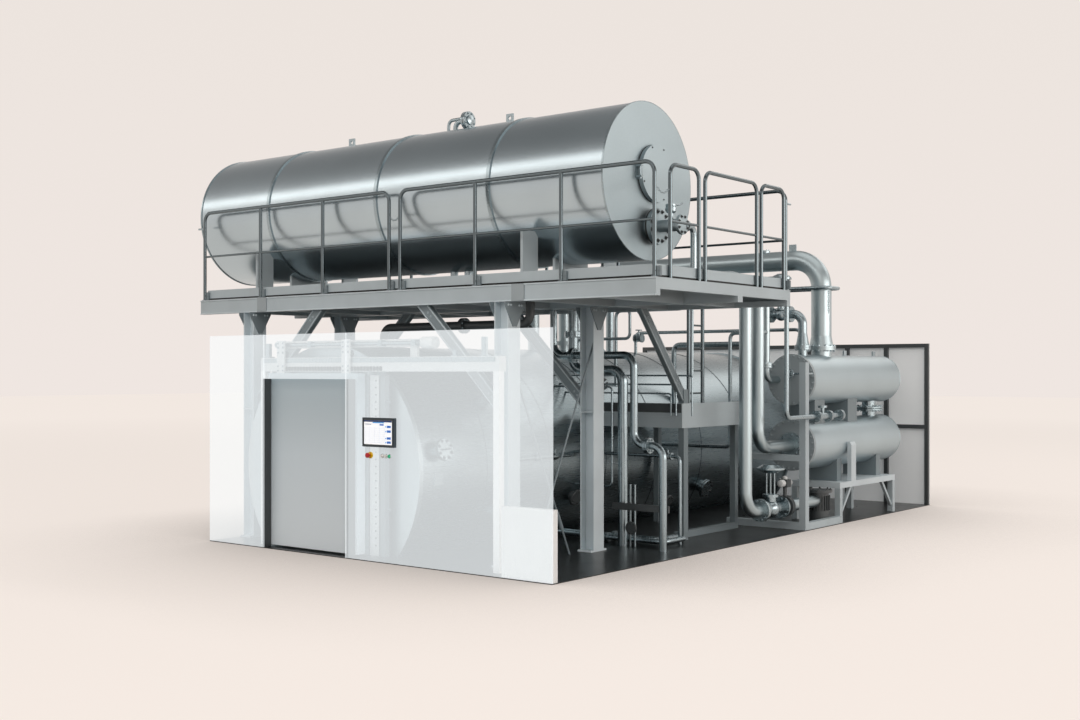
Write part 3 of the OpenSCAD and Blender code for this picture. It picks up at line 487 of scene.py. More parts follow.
bm = bmesh.new()
# The dark edge each gasket shows past its cover is partly painted shadow.
disc(bm, at(2822, flange_y, flange_z), X, 0.193, 0.017, 0.003, 48)
disc(bm, at(2771, cover_y, cover_z), X, 0.308, 0.010, 0.002, 64)
put("tank_gaskets_and_rim_shadow", bm, rubber)

# %% [markdown]
# The manhole cover swings on a hinge of two lugs and a pin. On the service flange stand a ball
# valve with its lever and an overflow tube that turns down to the deck. Plates, turned bodies and
# bent tubes are the same shapes that a fitter would put together.

# %% Tank end hinge, valve and overflow
bm = bmesh.new()
for z in (4085, 4200):
    plate(bm, at(2771, 1245, z), at(2845, 1285, z + 26))
tube(bm, [at(2825, 1262, 4070), at(2825, 1262, 4245)], 0.011)
plate(bm, at(2771, 1250, 4070), at(2779, 1300, 4250))

valve_x, outlet_x = 3020, 3120
ball = [(0.03, 0), (0.055, 0.02), (0.06, 0.05), (0.055, 0.08), (0.03, 0.1)]
tube(bm, [at(valve_x, flange_y, 3640), at(valve_x, flange_y, 3790)], 0.03)
lathe(bm, at(valve_x, flange_y, 3720), Z, ball)
lever = [at(valve_x, flange_y, 3825), at(valve_x, 1700, 3825), at(valve_x, 1760, 3850)]
tube(bm, lever, 0.010, 0.03)
disc(bm, at(valve_x, flange_y, 3788), Z, 0.055, 0.03)
outlet = [at(outlet_x, 1590, flange_z), at(outlet_x, 1830, flange_z), at(outlet_x, 1830, 3120)]
tube(bm, outlet, 0.035, 0.09)
for y in (1600, 1660):
    disc(bm, at(outlet_x, y, flange_z), Y, 0.06, 0.03)
put("tank_end_fittings", bm, fitting_steel)

# %% [markdown]
# The vent on top of the tank ends in a pair of flanges with a blank. A thin tube beside it bends
# over in one wide curve. Discs with broken edges make the flanges, because the sharp rim of a plain
# cylinder would catch no light.

# %% Tank vent
blank_y, blank_z = 1500, 5019
bm = bmesh.new()
tube(bm, [at(-70, blank_y, 4895), at(-70, blank_y, 5050), at(215, blank_y, 5050)], 0.020, 0.13)
for x in (202, 236):
    disc(bm, at(x, blank_y, blank_z), X, 0.105, 0.028, 0.004)
bolt_circle(bm, at(264, blank_y, blank_z), X, 0.084, 8, 0.016)
lathe(bm, at(262, blank_y, blank_z), X, [(0.06, 0), (0.055, 0.02), (0.02, 0.03)], 24)
put("tank_vent_flanges", bm, fitting_steel)

# %% [markdown]
# Handrail posts stand on small foot brackets bolted to the beam. One bracket is a foot plate, an
# upright plate and a bolt, at every post of both long sides. An array modifier could repeat it, but
# the posts are not evenly spaced, so a loop over their places is simpler.

# %% Handrail feet
posts = [-3460, -2360, -1230, -126, 48, 1167, 2327, 3460]
rail_front, rail_back, deck_z = 555, 3245, 2985
bm = bmesh.new()
for x in posts:
    for y, side in ((rail_front, 1), (rail_back, -1)):
        inner = y + side * 30
        plate(bm, at(x - 26, y - 26, deck_z), at(x + 26, y + 26, deck_z + 10))
        plate(bm, at(x + 21, min(y, inner), deck_z + 10), at(x + 68, max(y, inner), 3092))
        bolt(bm, at(x + 45, y, 3045), -Y * side, 0.012)
put("handrail_feet", bm, brace_paint)

# %% [markdown]
# Short chains close the gaps between the handrail panels, and a short rod stands out at two of
# their corners. A chain is a row of rings, each turned a quarter from the last, and it sags a
# little between its ends.

# %% Handrail chains
links = 9
bm = bmesh.new()
for start, end in (
    (at(3470, 576, 3860), at(3470, 799, 3860)), (at(-126, rail_front, 3830), at(48, rail_front, 3830)),
):
    along = (end - start).normalized()
    for k in range(links):
        t = (k + 0.5) / links
        middle = start.lerp(end, t) - Z * 0.05 * math.sin(math.pi * t)
        side = Z if k % 2 else along.cross(Z)
        tube(bm, ring(middle, along * 0.016, side * 0.009, 16), 0.003, 0.001, 8)
tube(bm, [at(3465, rail_back, 3963), at(3465, 3350, 3963)], 0.012)
tube(bm, [at(-3460, rail_front, 3913), at(-3585, rail_front, 3913)], 0.012)
put("handrail_chains", bm, fitting_steel)

# %% [markdown]
# The long beams of the platform are channels: a lip shows at the top and the bottom of each web, and a flat
# cover plate sits on the front beam beside each column. The lips are real bars, since a line drawn on the
# paint would cast no edge of shade. The lips wear the lighter column grey, not the beams' own: a painted
# highlight along them.

# %% Beam plates and lips
bm = bmesh.new()
for x in (-2286, 1793):
    plate(bm, at(x - 85, 508, 2806), at(x + 85, 520, 2984))
put("beam_cover_plates", bm, plate_paint)

beam_low, beam_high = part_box("platform_beams")
print("beams", beam_low, beam_high)
lip, proud, sunk = 0.014, 0.010, 0.002
bm = bmesh.new()
for z in (beam_low[2], beam_high[2] - lip):
    for y0, y1 in ((beam_low[1] - proud, beam_low[1] + sunk), (beam_high[1] - sunk, beam_high[1] + proud)):
        plate(bm, (beam_low[0], y0, z), (beam_high[0], y1, z + lip), 0.002)
# The lighter grey of the lips is a painted highlight.
put("beam_lips", bm, column_paint_lit)

# %% [markdown]
# Where the toe boards stand on the beams, a slim dark strip along the foot of each board is painted shadow,
# for the shade under the boards, because the solids meet there without a gap.

# %% Painted shadow under the toe boards
toe_low, toe_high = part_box("toe_boards")
print("toe boards", toe_low, toe_high)
gap, over = 0.026, 0.003
foot, top = toe_low[2], toe_low[2] + gap
bm = bmesh.new()
for low, high in (
    ((toe_low[0], toe_low[1] - over, foot), (toe_high[0], toe_low[1] + sunk, top)),
    ((toe_low[0], toe_high[1] - sunk, foot), (toe_high[0], toe_high[1] + over, top)),
    ((toe_high[0] - sunk, toe_low[1], foot), (toe_high[0] + over, toe_high[1], top)),
):
    plate(bm, low, high, 0.001)
# The strip is painted shadow, drawn in the dark rubber finish.
put("toe_board_painted_shadow", bm, rubber)

# %% [markdown]
# Each column is spliced by two thin plates at half height, and its head plates are bolted up under
# the beams. Two plates with a small gap leave a true dark joint, which a painted line would not.

# %% Column splices
column_xs, column_ys = (-2545, 1562), (620, 2150)
bm = bmesh.new()
for x in column_xs:
    for y in column_ys:
        for z in (1596, 1606):
            plate(bm, at(x - 99, y - 104, z), at(x + 99, y + 104, z + 8), 0.001)
        for dx in (-101, 101):
            for dy in (-110, -70, 70, 110):
                bolt(bm, at(x + dx * 1.06, y + dy, 2770), X if dx > 0 else -X, 0.014)
put("column_splices", bm, column_paint_lit)

# %% [markdown]
# The sloping stays are rolled channels, whose rounded edges stand a little proud of the web and catch the
# light. The solids give the plain bar. Each edge here is a slim round bead laid along the bar's face, half
# sunk in it, and bolt heads mark the joint at each end. The beads and bolts wear the lighter beam grey, not
# the stays' darker grey: a painted highlight along the edges. The knee braces rise at 45 degrees from the
# columns, and the walkway's stay is steeper.

# %% Edges of the sloping stays
bm = bmesh.new()
knee_half, knee_foot, slope = 52, 1705, math.sqrt(0.5)
for x, s in ((-2450, 1), (1467, -1)):
    for row in column_ys:
        for face, out in ((-35, -Y), (35, Y)):
            for side, first, last in ((-1, 60, 1496), (1, -44, 1598)):
                tube(bm, [
                    at(
                        x + s * (t + side * knee_half) * slope, row + face,
                        knee_foot + (t - side * knee_half) * slope,
                    ) for t in (first, last)
                ], 0.010)
            for t in (130, 190, 1380, 1440):
                bolt(bm, at(x + s * t * slope, row + face, knee_foot + t * slope), out, 0.013)

stay_low, stay_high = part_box("walkway_stay")
stay_y, stay_z, rise, run, stay_half = 3550, 1790, 1015, 860, 47
cos_a, sin_a = run / math.hypot(rise, run), rise / math.hypot(rise, run)
for face, out in ((stay_low[0] * 1000, -X), (stay_high[0] * 1000, X)):
    for side, first, last in ((1, 60, 1284), (-1, -50, 1364)):
        tube(bm, [
            at(
                face, stay_y + side * stay_half * sin_a - t * cos_a,
                stay_z + side * stay_half * cos_a + t * sin_a,
            ) for t in (first, last)
        ], 0.009)
    for t in (160, 220, 1150, 1210):
        bolt(bm, at(face, stay_y - t * cos_a, stay_z + t * sin_a), out, 0.012)
# The lighter grey of the edge beads is a painted highlight.
put("stay_edges_painted_highlight", bm, beam_paint)

# %% [markdown]
# The vessel is welded from rings of plate. Each weld stands a few millimetres proud as a bead
# round the shell, down to the floor. A bump in the finish could hint at it, but a real bead keeps
# its shade from every side.

# %% Vessel welds
vessel_x, vessel_z, vessel_r = -950, 934, 1430
bead_r = vessel_r + 1
arc = [math.radians(-39 + 258 * k / 72) for k in range(73)]
bm = bmesh.new()
for y in (1560, 2760, 3960, 5160, 6360, 7560):
    bead = [at(vessel_x + bead_r * math.cos(a), y, vessel_z + bead_r * math.sin(a)) for a in arc]
    tube(bm, bead, 0.005, 0.001, 6)
put("vessel_welds", bm, seam_steel)

# %% [markdown]
# The vessel's nozzles are closed by bolted blanks with a bow handle. A thin dark ring of the iron finish
# round each blank's rim is partly a gasket and partly painted shadow along its edge. The list gives each
# nozzle's distance from the wall, its angle above the vessel's middle in degrees, and its bore.

# %% Nozzle bolts and handles
nozzles = ((726, 10, 150), (1785, 34, 150), (1782, -22, 180), (6490, -22, 180), (4200, 40, 120))
reach = 128


def outward(degrees):
    return Vector((math.cos(math.radians(degrees)), 0, math.sin(math.radians(degrees))))


bm = bmesh.new()
for y, angle, bore in nozzles:
    out = outward(angle)
    face = at(vessel_x, y, vessel_z) + out * (vessel_r + reach) / 1000
    bolt_circle(bm, face, out, (bore + 50) / 2000, 8, 0.020)
    side, lift = Y * 0.05, out * 0.05
    tube(bm, [face + side, face + side + lift, face - side + lift, face - side], 0.006, 0.02, 8)
    # The dark ring round each blank is partly painted shadow.
    rim = (bore + 98) / 2000
    tube(bm, ring(face - out * 0.030, Y * rim, out.cross(Y) * rim, 40), 0.004, 0.001, 8)
put("vessel_nozzle_bolts", bm, iron)

# %% [markdown]
# The exchangers have bolted end plates, two lifting lugs on top and weld beads where the domed
# ends and the end plates meet the shells. The beads are rings of thin tube laid on the shell: a
# bevel on the shell could not give them, since the CAD solids stay as they are.

# %% Exchanger bolts, welds and lugs
shell_x, shell_zs, shell_r = 2190, (1080, 1960), 0.340
bm = bmesh.new()
for z in shell_zs:
    bolt_circle(bm, at(shell_x, 5840, z), -Y, 0.318, 24, 0.022)
put("exchanger_bolts", bm, plate_paint)

bm = bmesh.new()
for z in shell_zs:
    for y in (5900, 8690):
        tube(bm, ring(at(shell_x, y, z), X * shell_r, Z * shell_r, 64), 0.005, 0.001, 6)
for y in (7500, 8500):
    plate(bm, at(shell_x - 10, y - 45, 2298), at(shell_x + 10, y + 45, 2370))
put("exchanger_welds_and_lugs", bm, shell_sheet)

# %% [markdown]
# The spool between the two shells has a wide pair of flanges. On the upper end plate a small vent
# valve with a spoked hand wheel leads to a tube round the skid post. The wheel is a ring of thin
# tube with four spokes. A torus would do for its rim, but the tube is at hand.

# %% Spool flanges and vent valve
spool_y, vent_x, vent_z, wheel_y, wheel_r = 8330, 2244, 2040, 5690, 58
bm = bmesh.new()
for z in (1492, 1524):
    disc(bm, at(shell_x, spool_y, z), Z, 0.21, 0.024, 0.004, 48)
for z, axis in ((1548, Z), (1492, -Z)):
    bolt_circle(bm, at(shell_x, spool_y, z), axis, 0.185, 12, 0.018)
vent_line = [at(x, y, vent_z) for x, y in ((vent_x, 5842), (vent_x, 5740), (2560, 5740), (2560, 5488))]
tube(bm, vent_line, 0.013, 0.03)
body = [(0.018, 0), (0.035, 0.01), (0.035, 0.05), (0.018, 0.06)]
lathe(bm, at(vent_x, 5770, vent_z), -Y, body, 24)
hub = at(vent_x, wheel_y, vent_z)
tube(bm, ring(hub, X * wheel_r / 1000, Z * wheel_r / 1000, 32), 0.007, 0.001, 8)
for k in range(4):
    a = k * math.tau / 4
    spoke_end = at(vent_x + wheel_r * math.cos(a), wheel_y, vent_z + wheel_r * math.sin(a))
    tube(bm, [hub, spoke_end], 0.005)
tube(bm, [at(vent_x, 5740, vent_z), at(vent_x, 5680, vent_z)], 0.009)
put("spool_flanges_and_vent_valve", bm, fitting_steel)

# %% [markdown]
# The pump's body is an upright drum. Thin ribs stand round it and its cover is bolted on. A rib is
# a thin block. It could be a turned cube, but built from its eight corners it needs no turning.

# %% Pump ribs and cover bolts
pump_x, pump_y = 2400, 6250
ribs, rib_half, rib_out, rib_tall = 24, 0.003, 0.02, 0.2
bm = bmesh.new()
for k in range(ribs):
    angle = k * math.tau / ribs
    out = Vector((math.cos(angle), math.sin(angle), 0))
    foot = at(pump_x, pump_y, 190) + out * 0.129
    side = out.cross(Z) * rib_half
    corners = [foot - side, foot + side, foot + side + out * rib_out, foot - side + out * rib_out]
    skin(bm, [[bm.verts.new(p + lift) for p in corners] for lift in (Z * 0, Z * rib_tall)])
bolt_circle(bm, at(pump_x, pump_y, 468), Z, 0.15, 8, 0.022)
put("pump_fins", bm, iron)

# %% [markdown]
# The butterfly valve is turned by a small pneumatic drive. The solids give its block, and turned
# end caps, a position knob and four bolts finish it. A cap turned from its profile has its rounded
# end at once, where a cylinder would need a bevel.

# %% Butterfly valve drive
drive_x, drive_top = 2400, 670
cap = [(0.046, 0), (0.046, 0.07), (0.040, 0.082), (0.018, 0.09)]
bm = bmesh.new()
for y, side in ((5210, -1), (5320, 1)):
    lathe(bm, at(drive_x, y, 620), Y * side, cap, 32)
disc(bm, at(drive_x, 5265, drive_top), Z, 0.032, 0.04, 0.005)
for dx in (-45, 45):
    for y in (5225, 5305):
        bolt(bm, at(drive_x + dx, y, drive_top), Z, 0.012)
put("butterfly_actuator", bm, gear_paint)

# %% [markdown]
# Small-bore tubes run between the vessel, the walkway, the platform and the floor: a level gauge
# beside the vessel, drains, a loop with two valves, pipes along the floor and lines over the
# vessel to the platform. Each run is a row of a table: its radius and its bend in millimetres, then
# the points it passes. Curve objects could hold them, but a table keeps every route in one place.

# %% Small-bore runs
runs = [
    (14, 60, (470, 3300, 640), (1037, 3300, 640), (1037, 3300, 1880), (120, 3300, 1880)),
    (22, 80, (2030, 3300, 9), (2030, 3300, 1050), (474, 3300, 1050)),
    (8, 20, (1860, 3300, 1050), (1860, 3300, 1130), (1770, 3300, 1130)),
    (25, 90, (478, 5200, 1063), (1624, 5200, 1063), (1624, 5200, 2580), (2190, 5200, 2580),
     (2190, 5000, 2580)),
    (20, 80, (2100, 3460, 2020), (2100, 3460, 2890), (2100, 3270, 2890)),
    (36, 110, (300, 5900, 1600), (300, 5900, 2450), (1780, 5900, 2450), (1780, 5900, 2850),
     (1780, 6060, 2850)),
    (24, 90, (-700, 6400, 2320), (-700, 6400, 2650), (2050, 6400, 2650), (2050, 6400, 2270)),
    (24, 100, (120, 4700, 1860), (120, 4700, 2900), (1200, 4700, 2900), (1200, 3270, 2900)),
    (20, 80, (-100, 4100, 2030), (-100, 4100, 2500), (760, 4100, 2500), (760, 4100, 2880), (760, 3270, 2880)),
    (13, 60, (1700, 2730, 8), (1700, 2730, 740)),
    (13, 60, (1765, 2730, 8), (1765, 2730, 740)),
    (32, 100, (430, 2880, 70), (2080, 2880, 70), (2080, 3300, 70)),
    (32, 100, (430, 3040, 70), (1900, 3040, 70), (1900, 3460, 70)),
    (20, 70, (455, 1950, 1030), (640, 1950, 1030), (640, 3100, 1030), (470, 3100, 1030)),
    (9, 20, (640, 2295, 1030), (640, 2295, 1110), (640, 2380, 1125)),
    (9, 20, (640, 2645, 1030), (640, 2645, 1110), (640, 2730, 1125)),
    (10, 60, (900, 4100, 2500), (900, 4100, 2610)),
    (10, 60, (560, 4700, 2900), (560, 4700, 3010)),
]
for z, end in ((2020, 2100), (1910, 1874), (1800, 1800)):
    start = vessel_x + math.sqrt(vessel_r ** 2 - (z - vessel_z) ** 2) - 10
    runs.append((11, 40, (start, 3460, z), (end, 3460, z), (end, 3460, 1530)))
tubes = bmesh.new()
for radius, bend, *points in runs:
    tube(tubes, [at(*p) for p in points], radius / 1000, bend / 1000)
print(len(runs), "small-bore runs")

# %% [markdown]
# Valves and flanges sit on these runs. A small valve is a turned barrel, its handle is one of the
# thin tubes above, and a joint is a pair of discs. At this size nothing finer would show.

# %% Small-bore valves
barrel = [(0.02, 0), (0.04, 0.02), (0.04, 0.06), (0.02, 0.08)]
lathe(tubes, at(1820, 3300, 1050), X, barrel)
for y in (2250, 2600):
    lathe(tubes, at(640, y, 1030), Y, [(0.022, 0), (0.042, 0.02), (0.042, 0.07), (0.022, 0.09)], 24)
for x in (1800, 1900):
    disc(tubes, at(x, 3300, 1050), X, 0.045, 0.02)
for y in (2880, 3040):
    for x in (1240, 1268):
        disc(tubes, at(x, y, 70), X, 0.058, 0.022)
for x, y, z in ((900, 4100, 2500), (560, 4700, 2900)):
    for dx in (-60, 40):
        disc(tubes, at(x + dx, y, z), X, 0.055, 0.02)
    lathe(tubes, at(x - 40, y, z), X, [(0.02, 0), (0.045, 0.02), (0.045, 0.06), (0.02, 0.08)], 24)
    disc(tubes, at(x, y, z + 100), Z, 0.045, 0.014, 0.004)
put("small_bore_tubes", tubes, pipe_steel)

# %% [markdown]
# Dark steel straps steady the drain pipes and edge the walkway, and two short stubs with blanks
# stand on the vessel's side. A stub is turned in one profile, so that its neck and flange need no
# joining.

# %% Side stubs and straps
bm = bmesh.new()
plate(bm, at(1490, 2652, 440), at(2275, 2690, 520), 0.004)
plate(bm, at(510, 3492, 1566), at(1925, 3501, 1676), 0.003)
disc(bm, at(1735, 2705, 230), -Y, 0.075, 0.025, 0.004)
bolt_circle(bm, at(1735, 2680, 230), -Y, 0.056, 8, 0.013)
stub = [(0.06, 0), (0.06, 0.07), (0.105, 0.072), (0.105, 0.10), (0.10, 0.104)]
for y, angle in ((3280, -18), (5600, -28)):
    out = outward(angle)
    foot = at(vessel_x, y, vessel_z) + out * 1.425
    lathe(bm, foot, out, stub, 32)
    bolt_circle(bm, foot + out * 0.104, out, 0.082, 8, 0.016)
put("side_stubs_and_straps", bm, dark_paint)

# %% [markdown]
# A ladder rises from the walkway and its rails bend over to the back of the platform. Rails and
# rungs are round tube. Each rail is one tube with a bend, as a bender would make it, and a loop sets
# the rungs.

# %% Walkway ladder
ladder_x = 1890
bm = bmesh.new()
for y in (3720, 4050):
    tube(bm, [at(ladder_x, y, 1550), at(ladder_x, y, 3080), at(ladder_x, 3250, 3080)], 0.024, 0.10)
for k in range(5):
    z = 1800 + 280 * k
    tube(bm, [at(ladder_x, 3725, z), at(ladder_x, 4045, z)], 0.012)
put("walkway_ladder", bm, rail_steel)

# %% [markdown]
# A tube guides the tall pipe above the upper exchanger: it runs round the pipe and is held to it
# by two short plates. One bent path gives all its sides, so no corner has to be joined.

# %% Pipe guide
guide_z = 3231
bm = bmesh.new()
guide = [at(x, y, guide_z) for x, y in ((1250, 6570), (2385, 6570), (2385, 6930), (1250, 6930))]
tube(bm, guide, 0.026, 0.08)
for y in (6590, 6885):
    plate(bm, at(2180, y, guide_z - 16), at(2200, y + 25, guide_z + 16))
put("pipe_guide", bm, fitting_steel)

# %% [markdown]
# The overhead pipe carries a vent plug and a bolted cap, and a short chain hangs from the corner
# of its guide. The chain is the same row of rings as on the handrail.

# %% Overhead lugs and chain
pipe_y = 6750
bm = bmesh.new()
lathe(bm, at(118, pipe_y, 3770), Z, [(0.045, 0), (0.045, 0.03), (0.02, 0.09), (0.012, 0.12)], 20)
disc(bm, at(1306, pipe_y, 3760), Z, 0.075, 0.05, 0.006)
bolt_circle(bm, at(1306, pipe_y, 3810), Z, 0.055, 6, 0.014)
for k in range(11):
    middle = at(2385, 6570, 3190 - 30 * k)
    tube(bm, ring(middle, Z * 0.020, (X if k % 2 else Y) * 0.011, 16), 0.004, 0.001, 8)
put("overhead_lugs_and_chain", bm, fitting_steel)

# %% [markdown]
# The steam valve is worked by a diaphragm drive: a stem between two yoke rods, with a lens-shaped
# head on top whose halves are bolted together. The head is turned from its profile.

# %% Steam valve drive
steam_x, steam_y = 1920, 6080
head = [(0.06, 0), (0.11, 0.03), (0.135, 0.05), (0.135, 0.064), (0.11, 0.09), (0.05, 0.118)]
bm = bmesh.new()
tube(bm, [at(steam_x, steam_y, 2880), at(steam_x, steam_y, 3330)], 0.016)
for dy in (-60, 60):
    tube(bm, [at(steam_x, steam_y + dy, 2930), at(steam_x, steam_y + dy, 3290)], 0.011)
disc(bm, at(steam_x, steam_y, 2905), Z, 0.085, 0.03, 0.004)
disc(bm, at(steam_x, steam_y, 3270), Z, 0.080, 0.02, 0.004)
lathe(bm, at(steam_x, steam_y, 3290), Z, head, 40)
bolt_circle(bm, at(steam_x, steam_y, 3350), Z, 0.122, 10, 0.012)
put("steam_valve_actuator", bm, fitting_steel)

# %% [markdown]
# The touch screen sits in a dark frame on the loading wall. Its page is generic: a blue bar on
# top, a pale page with a grey table, and a column of blue keys. A picture could be mapped on it,
# but thin plates with a faint glow stay sharp from near by and need no image.

# %% Screen
lit = {}
for name, code in (
    ("page", "#F6F9FC"), ("bar", "#17305C"), ("tint", "#3F93D6"), ("row", "#C3CEDE"), ("key", "#2F69B8"),
):
    lit[name] = change(paint("screen film, " + name, code, 0.14, 0.02, 0.01), {
        "Emission Color": linear(code), "Emission Strength": 0.45,
    })
glass = -45  # the screen's face, in front of the wall
films = {name: bmesh.new() for name in lit}


def film(name, low, high, edge=0.0005):
    plate(films[name], at(low[0], glass - 4, low[1]), at(high[0], glass - 2, high[1]), edge)


plate(films["page"], at(92, glass - 3, 1282), at(513, glass + 1, 1542), 0.001)
film("bar", (92, 1524), (513, 1542))
film("tint", (225, 1512), (400, 1523))
film("bar", (108, 1496), (205, 1503))
film("key", (330, 1488), (395, 1504))
for k in range(8):
    film("row", (106, 1304 + 22 * k), (408, 1307 + 22 * k), 0.0004)
for k in range(5):
    film("row", (106 + 74 * k, 1298), (108.5 + 74 * k, 1478), 0.0003)
for z in (1296, 1340, 1414, 1464):
    film("key", (440, z), (500, z + 26), 0.0008)
    film("tint", (418, z + 4), (432, z + 20))
for name, mesh in films.items():
    put("screen_" + name, mesh, lit[name])

# %% [markdown]
# The frame of the screen is black anodised aluminium, a dark satin metal. It stands a little proud
# of the glass. A hole could be cut in one plate, but four bars need no cutting.

# %% Screen frame
bezel = stainless("aluminium frame, black anodised", "#4A5156", 0.40, (6, 6, 6), 0.04)
bm = bmesh.new()
for low, high in (
    ((66, 1254), (539, 1272)), ((66, 1552), (539, 1570)),
    ((66, 1272), (84, 1552)), ((521, 1272), (539, 1552)),
):
    plate(bm, at(low[0], glass - 6, low[1]), at(high[0], glass + 45, high[1]), 0.003)
put("screen_frame", bm, bezel)

# %% [markdown]
# Under the screen are an emergency stop, with a red mushroom head on a yellow collar, and three
# push buttons in chromed rings. All are turned shapes. Each colour is a piece of its own, because
# each is moulded from another plastic.

# %% Buttons
knobs = {
    name: (paint(title, code, 0.28, 0.04, 0.02), bmesh.new())
    for name, title, code in (
        ("red", "ABS, red", "#C0141B"), ("yellow", "ABS, yellow", "#F2C40F"),
        ("white", "ABS, white", "#F4F4F2"), ("green", "polycarbonate lens, green", "#2FC58F"),
    )
}
knobs["chrome"] = (stainless("zinc ring, chromed", "#DDE1E2", 0.12, (6, 6, 6), 0.03), bmesh.new())
mushroom = [(0.014, 0), (0.014, 0.022), (0.026, 0.024), (0.029, 0.032), (0.027, 0.042), (0.016, 0.048)]
button = [(0.020, 0), (0.020, 0.008), (0.017, 0.013), (0.007, 0.015)]
disc(knobs["yellow"][1], at(152, 0, 1161), -Y, 0.036, 0.022, 0.004)
lathe(knobs["red"][1], at(152, -22, 1161), -Y, mushroom)
for x, name in ((335, "white"), (388, "white"), (441, "green")):
    disc(knobs["chrome"][1], at(x, 0, 1158), -Y, 0.024, 0.012, 0.003)
    lathe(knobs[name][1], at(x, -11, 1158), -Y, button)
for name, (mat, mesh) in knobs.items():
    put("button_" + name, mesh, mat)

# %% [markdown]
# The door hangs from two carriages that roll on the rail and show faintly through the wall. The
# bolts of the carriage plates ride on the door, so they slide with it. On the plant's body they
# would be left behind when it opens.

# %% Carriage bolts
door_x, hanger_x, hanger_y = -950, 550, 140
bm = bmesh.new()
for x in (door_x - hanger_x, door_x + hanger_x):
    for z in (2080, 2130, 2290, 2350, 2400):
        for dx in (-42, 42):
            bolt(bm, at(x + dx, hanger_y, z), -Y, 0.014)
put("carriage_bolts", bm, fitting_steel, "door")

# %% [markdown]
# A guide bar runs along the rail's face, the drive beam carries a spindle in bearing blocks, and
# stops stand on the rail. They stay still while the carriages pass, so their places are taken from
# the boxes of the rail and the drive, and they keep at least 8 mm clear of the carriage plates.

# %% Guide bar and spindle
rail_low, rail_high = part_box("door_rail")
drive_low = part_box("door_drive")[0]
print("rail", rail_low, rail_high, "drive", drive_low)
face, rail_top = rail_low[1], rail_high[2]
bm = bmesh.new()
bar_low = (rail_low[0] + 0.05, face - 0.012, rail_top - 0.058)
bar_high = (rail_high[0] - 0.05, face + 0.002, rail_top - 0.008)
plate(bm, bar_low, bar_high, 0.006)

spindle_y, spindle_z = drive_low[1] - 0.020, rail_top + 0.152
tube(bm, [(drive_low[0], spindle_y, spindle_z), (0.66, spindle_y, spindle_z)], 0.020)
for x in (drive_low[0] + 0.05, -1.05, -0.45, 0.1, 0.61):
    block_low = (x - 0.03, spindle_y - 0.026, spindle_z - 0.032)
    plate(bm, block_low, (x + 0.03, spindle_y + 0.047, spindle_z + 0.032), 0.004)
    bolt(bm, Vector((x, spindle_y - 0.026, spindle_z)), -Y, 0.010)
for x, width, tall in ((1.56, 0.060, 0.20), (1.16, 0.050, 0.07), (-1.84, 0.070, 0.17)):
    plate(bm, (x, face + 0.020, rail_top), (x + width, face + 0.062, rail_top + tall), 0.004)
    foot_high = (x + width + 0.02, face + 0.090, rail_top + 0.014)
    plate(bm, (x - 0.02, face + 0.010, rail_top), foot_high, 0.003)
put("door_guide_bar_and_spindle", bm, pipe_steel)

# %% [markdown]
# Beside the doorway stand a slim post with tabs and a flat strip with a row of bolts, and a flat
# cable chain lies along the rail's face. Behind the sheet they read as pale and dark lines, so plain
# plates with broken edges are enough for them.

# %% Jamb post, strip and cable chain
strip_y = 286
bm = bmesh.new()
plate(bm, at(10, 278, 8), at(90, 348, 2030), 0.004)
for z in (520, 1130, 1720):
    plate(bm, at(-20, 300, z), at(112, 352, z + 26), 0.003)
put("jamb_post", bm, brace_paint)

bm = bmesh.new()
for k in range(24):
    bolt(bm, at(-62, strip_y, 130 + 80 * k), -Y, 0.010)
for k in range(34):
    x = rail_low[0] + 0.35 + 0.05 * k
    link_low = (x, face - 0.012, rail_low[2] + 0.008)
    plate(bm, link_low, (x + 0.040, face + 0.004, rail_low[2] + 0.056), 0.005)
put("cable_chain_and_jamb_bolts", bm, rubber)

bm = bmesh.new()
plate(bm, at(-160, strip_y, 8), at(-15, strip_y + 8, 2030), 0.002)
put("jamb_strip", bm, gear_paint)

# %% [markdown]
# A small tag plate is fixed to the vessel's side behind the wall. It is blank. Two thin plates, one
# on the other, give its stepped edge, where a single one would look like a block.

# %% Tag plate
bm = bmesh.new()
plate(bm, at(470, 650, 800), at(484, 800, 940), 0.002)
plate(bm, at(482, 660, 810), at(487, 790, 930), 0.001)
put("blank_tag_plate", bm, fitting_steel)

# %% [markdown]
# Seen from behind, the unloading wall is a row of sheets. Slim cover strips with screw heads hide
# their joints, a flat frame edges the doorway, and the door has a bow handle. Flat bars and a bent
# tube give all of it.

# %% Unloading wall
outer, rear_leaf, handle_x = 9580, 9450, -420
bm = bmesh.new()
for x in (-2143, 630, 1290, 1950):
    plate(bm, at(x - 14, outer - 2, 12), at(x + 14, outer + 4, 2496), 0.001)
    for k in range(9):
        bolt(bm, at(x, outer + 4, 90 + 290 * k), Y, 0.008)
put("unloading_wall_strips", bm, brace_paint)

bm = bmesh.new()
for low, high in (
    ((-1705, 8), (-1645, 2045)), ((-255, 8), (-195, 2045)), ((-1645, 1985), (-255, 2045)),
):
    plate(bm, at(low[0], outer - 2, low[1]), at(high[0], outer + 10, high[1]), 0.002)
put("unloading_door_frame", bm, dark_paint)

bm = bmesh.new()
bow = [at(handle_x, rear_leaf + y, z) for y, z in ((-2, 900), (55, 900), (55, 1250), (-2, 1250))]
tube(bm, bow, 0.014, 0.03)
for z in (900, 1250):
    disc(bm, at(handle_x, rear_leaf - 1, z), Y, 0.028, 0.008)
put("unloading_door_handle", bm, fitting_steel)

# %% [markdown]
# Light comes from a soft studio. Polished steel shows what is round it, so the sky is pale near the
# horizon and dim overhead, which gives the tank and the pipes their light and dark stripes. An even
# sky would leave the metal flat.

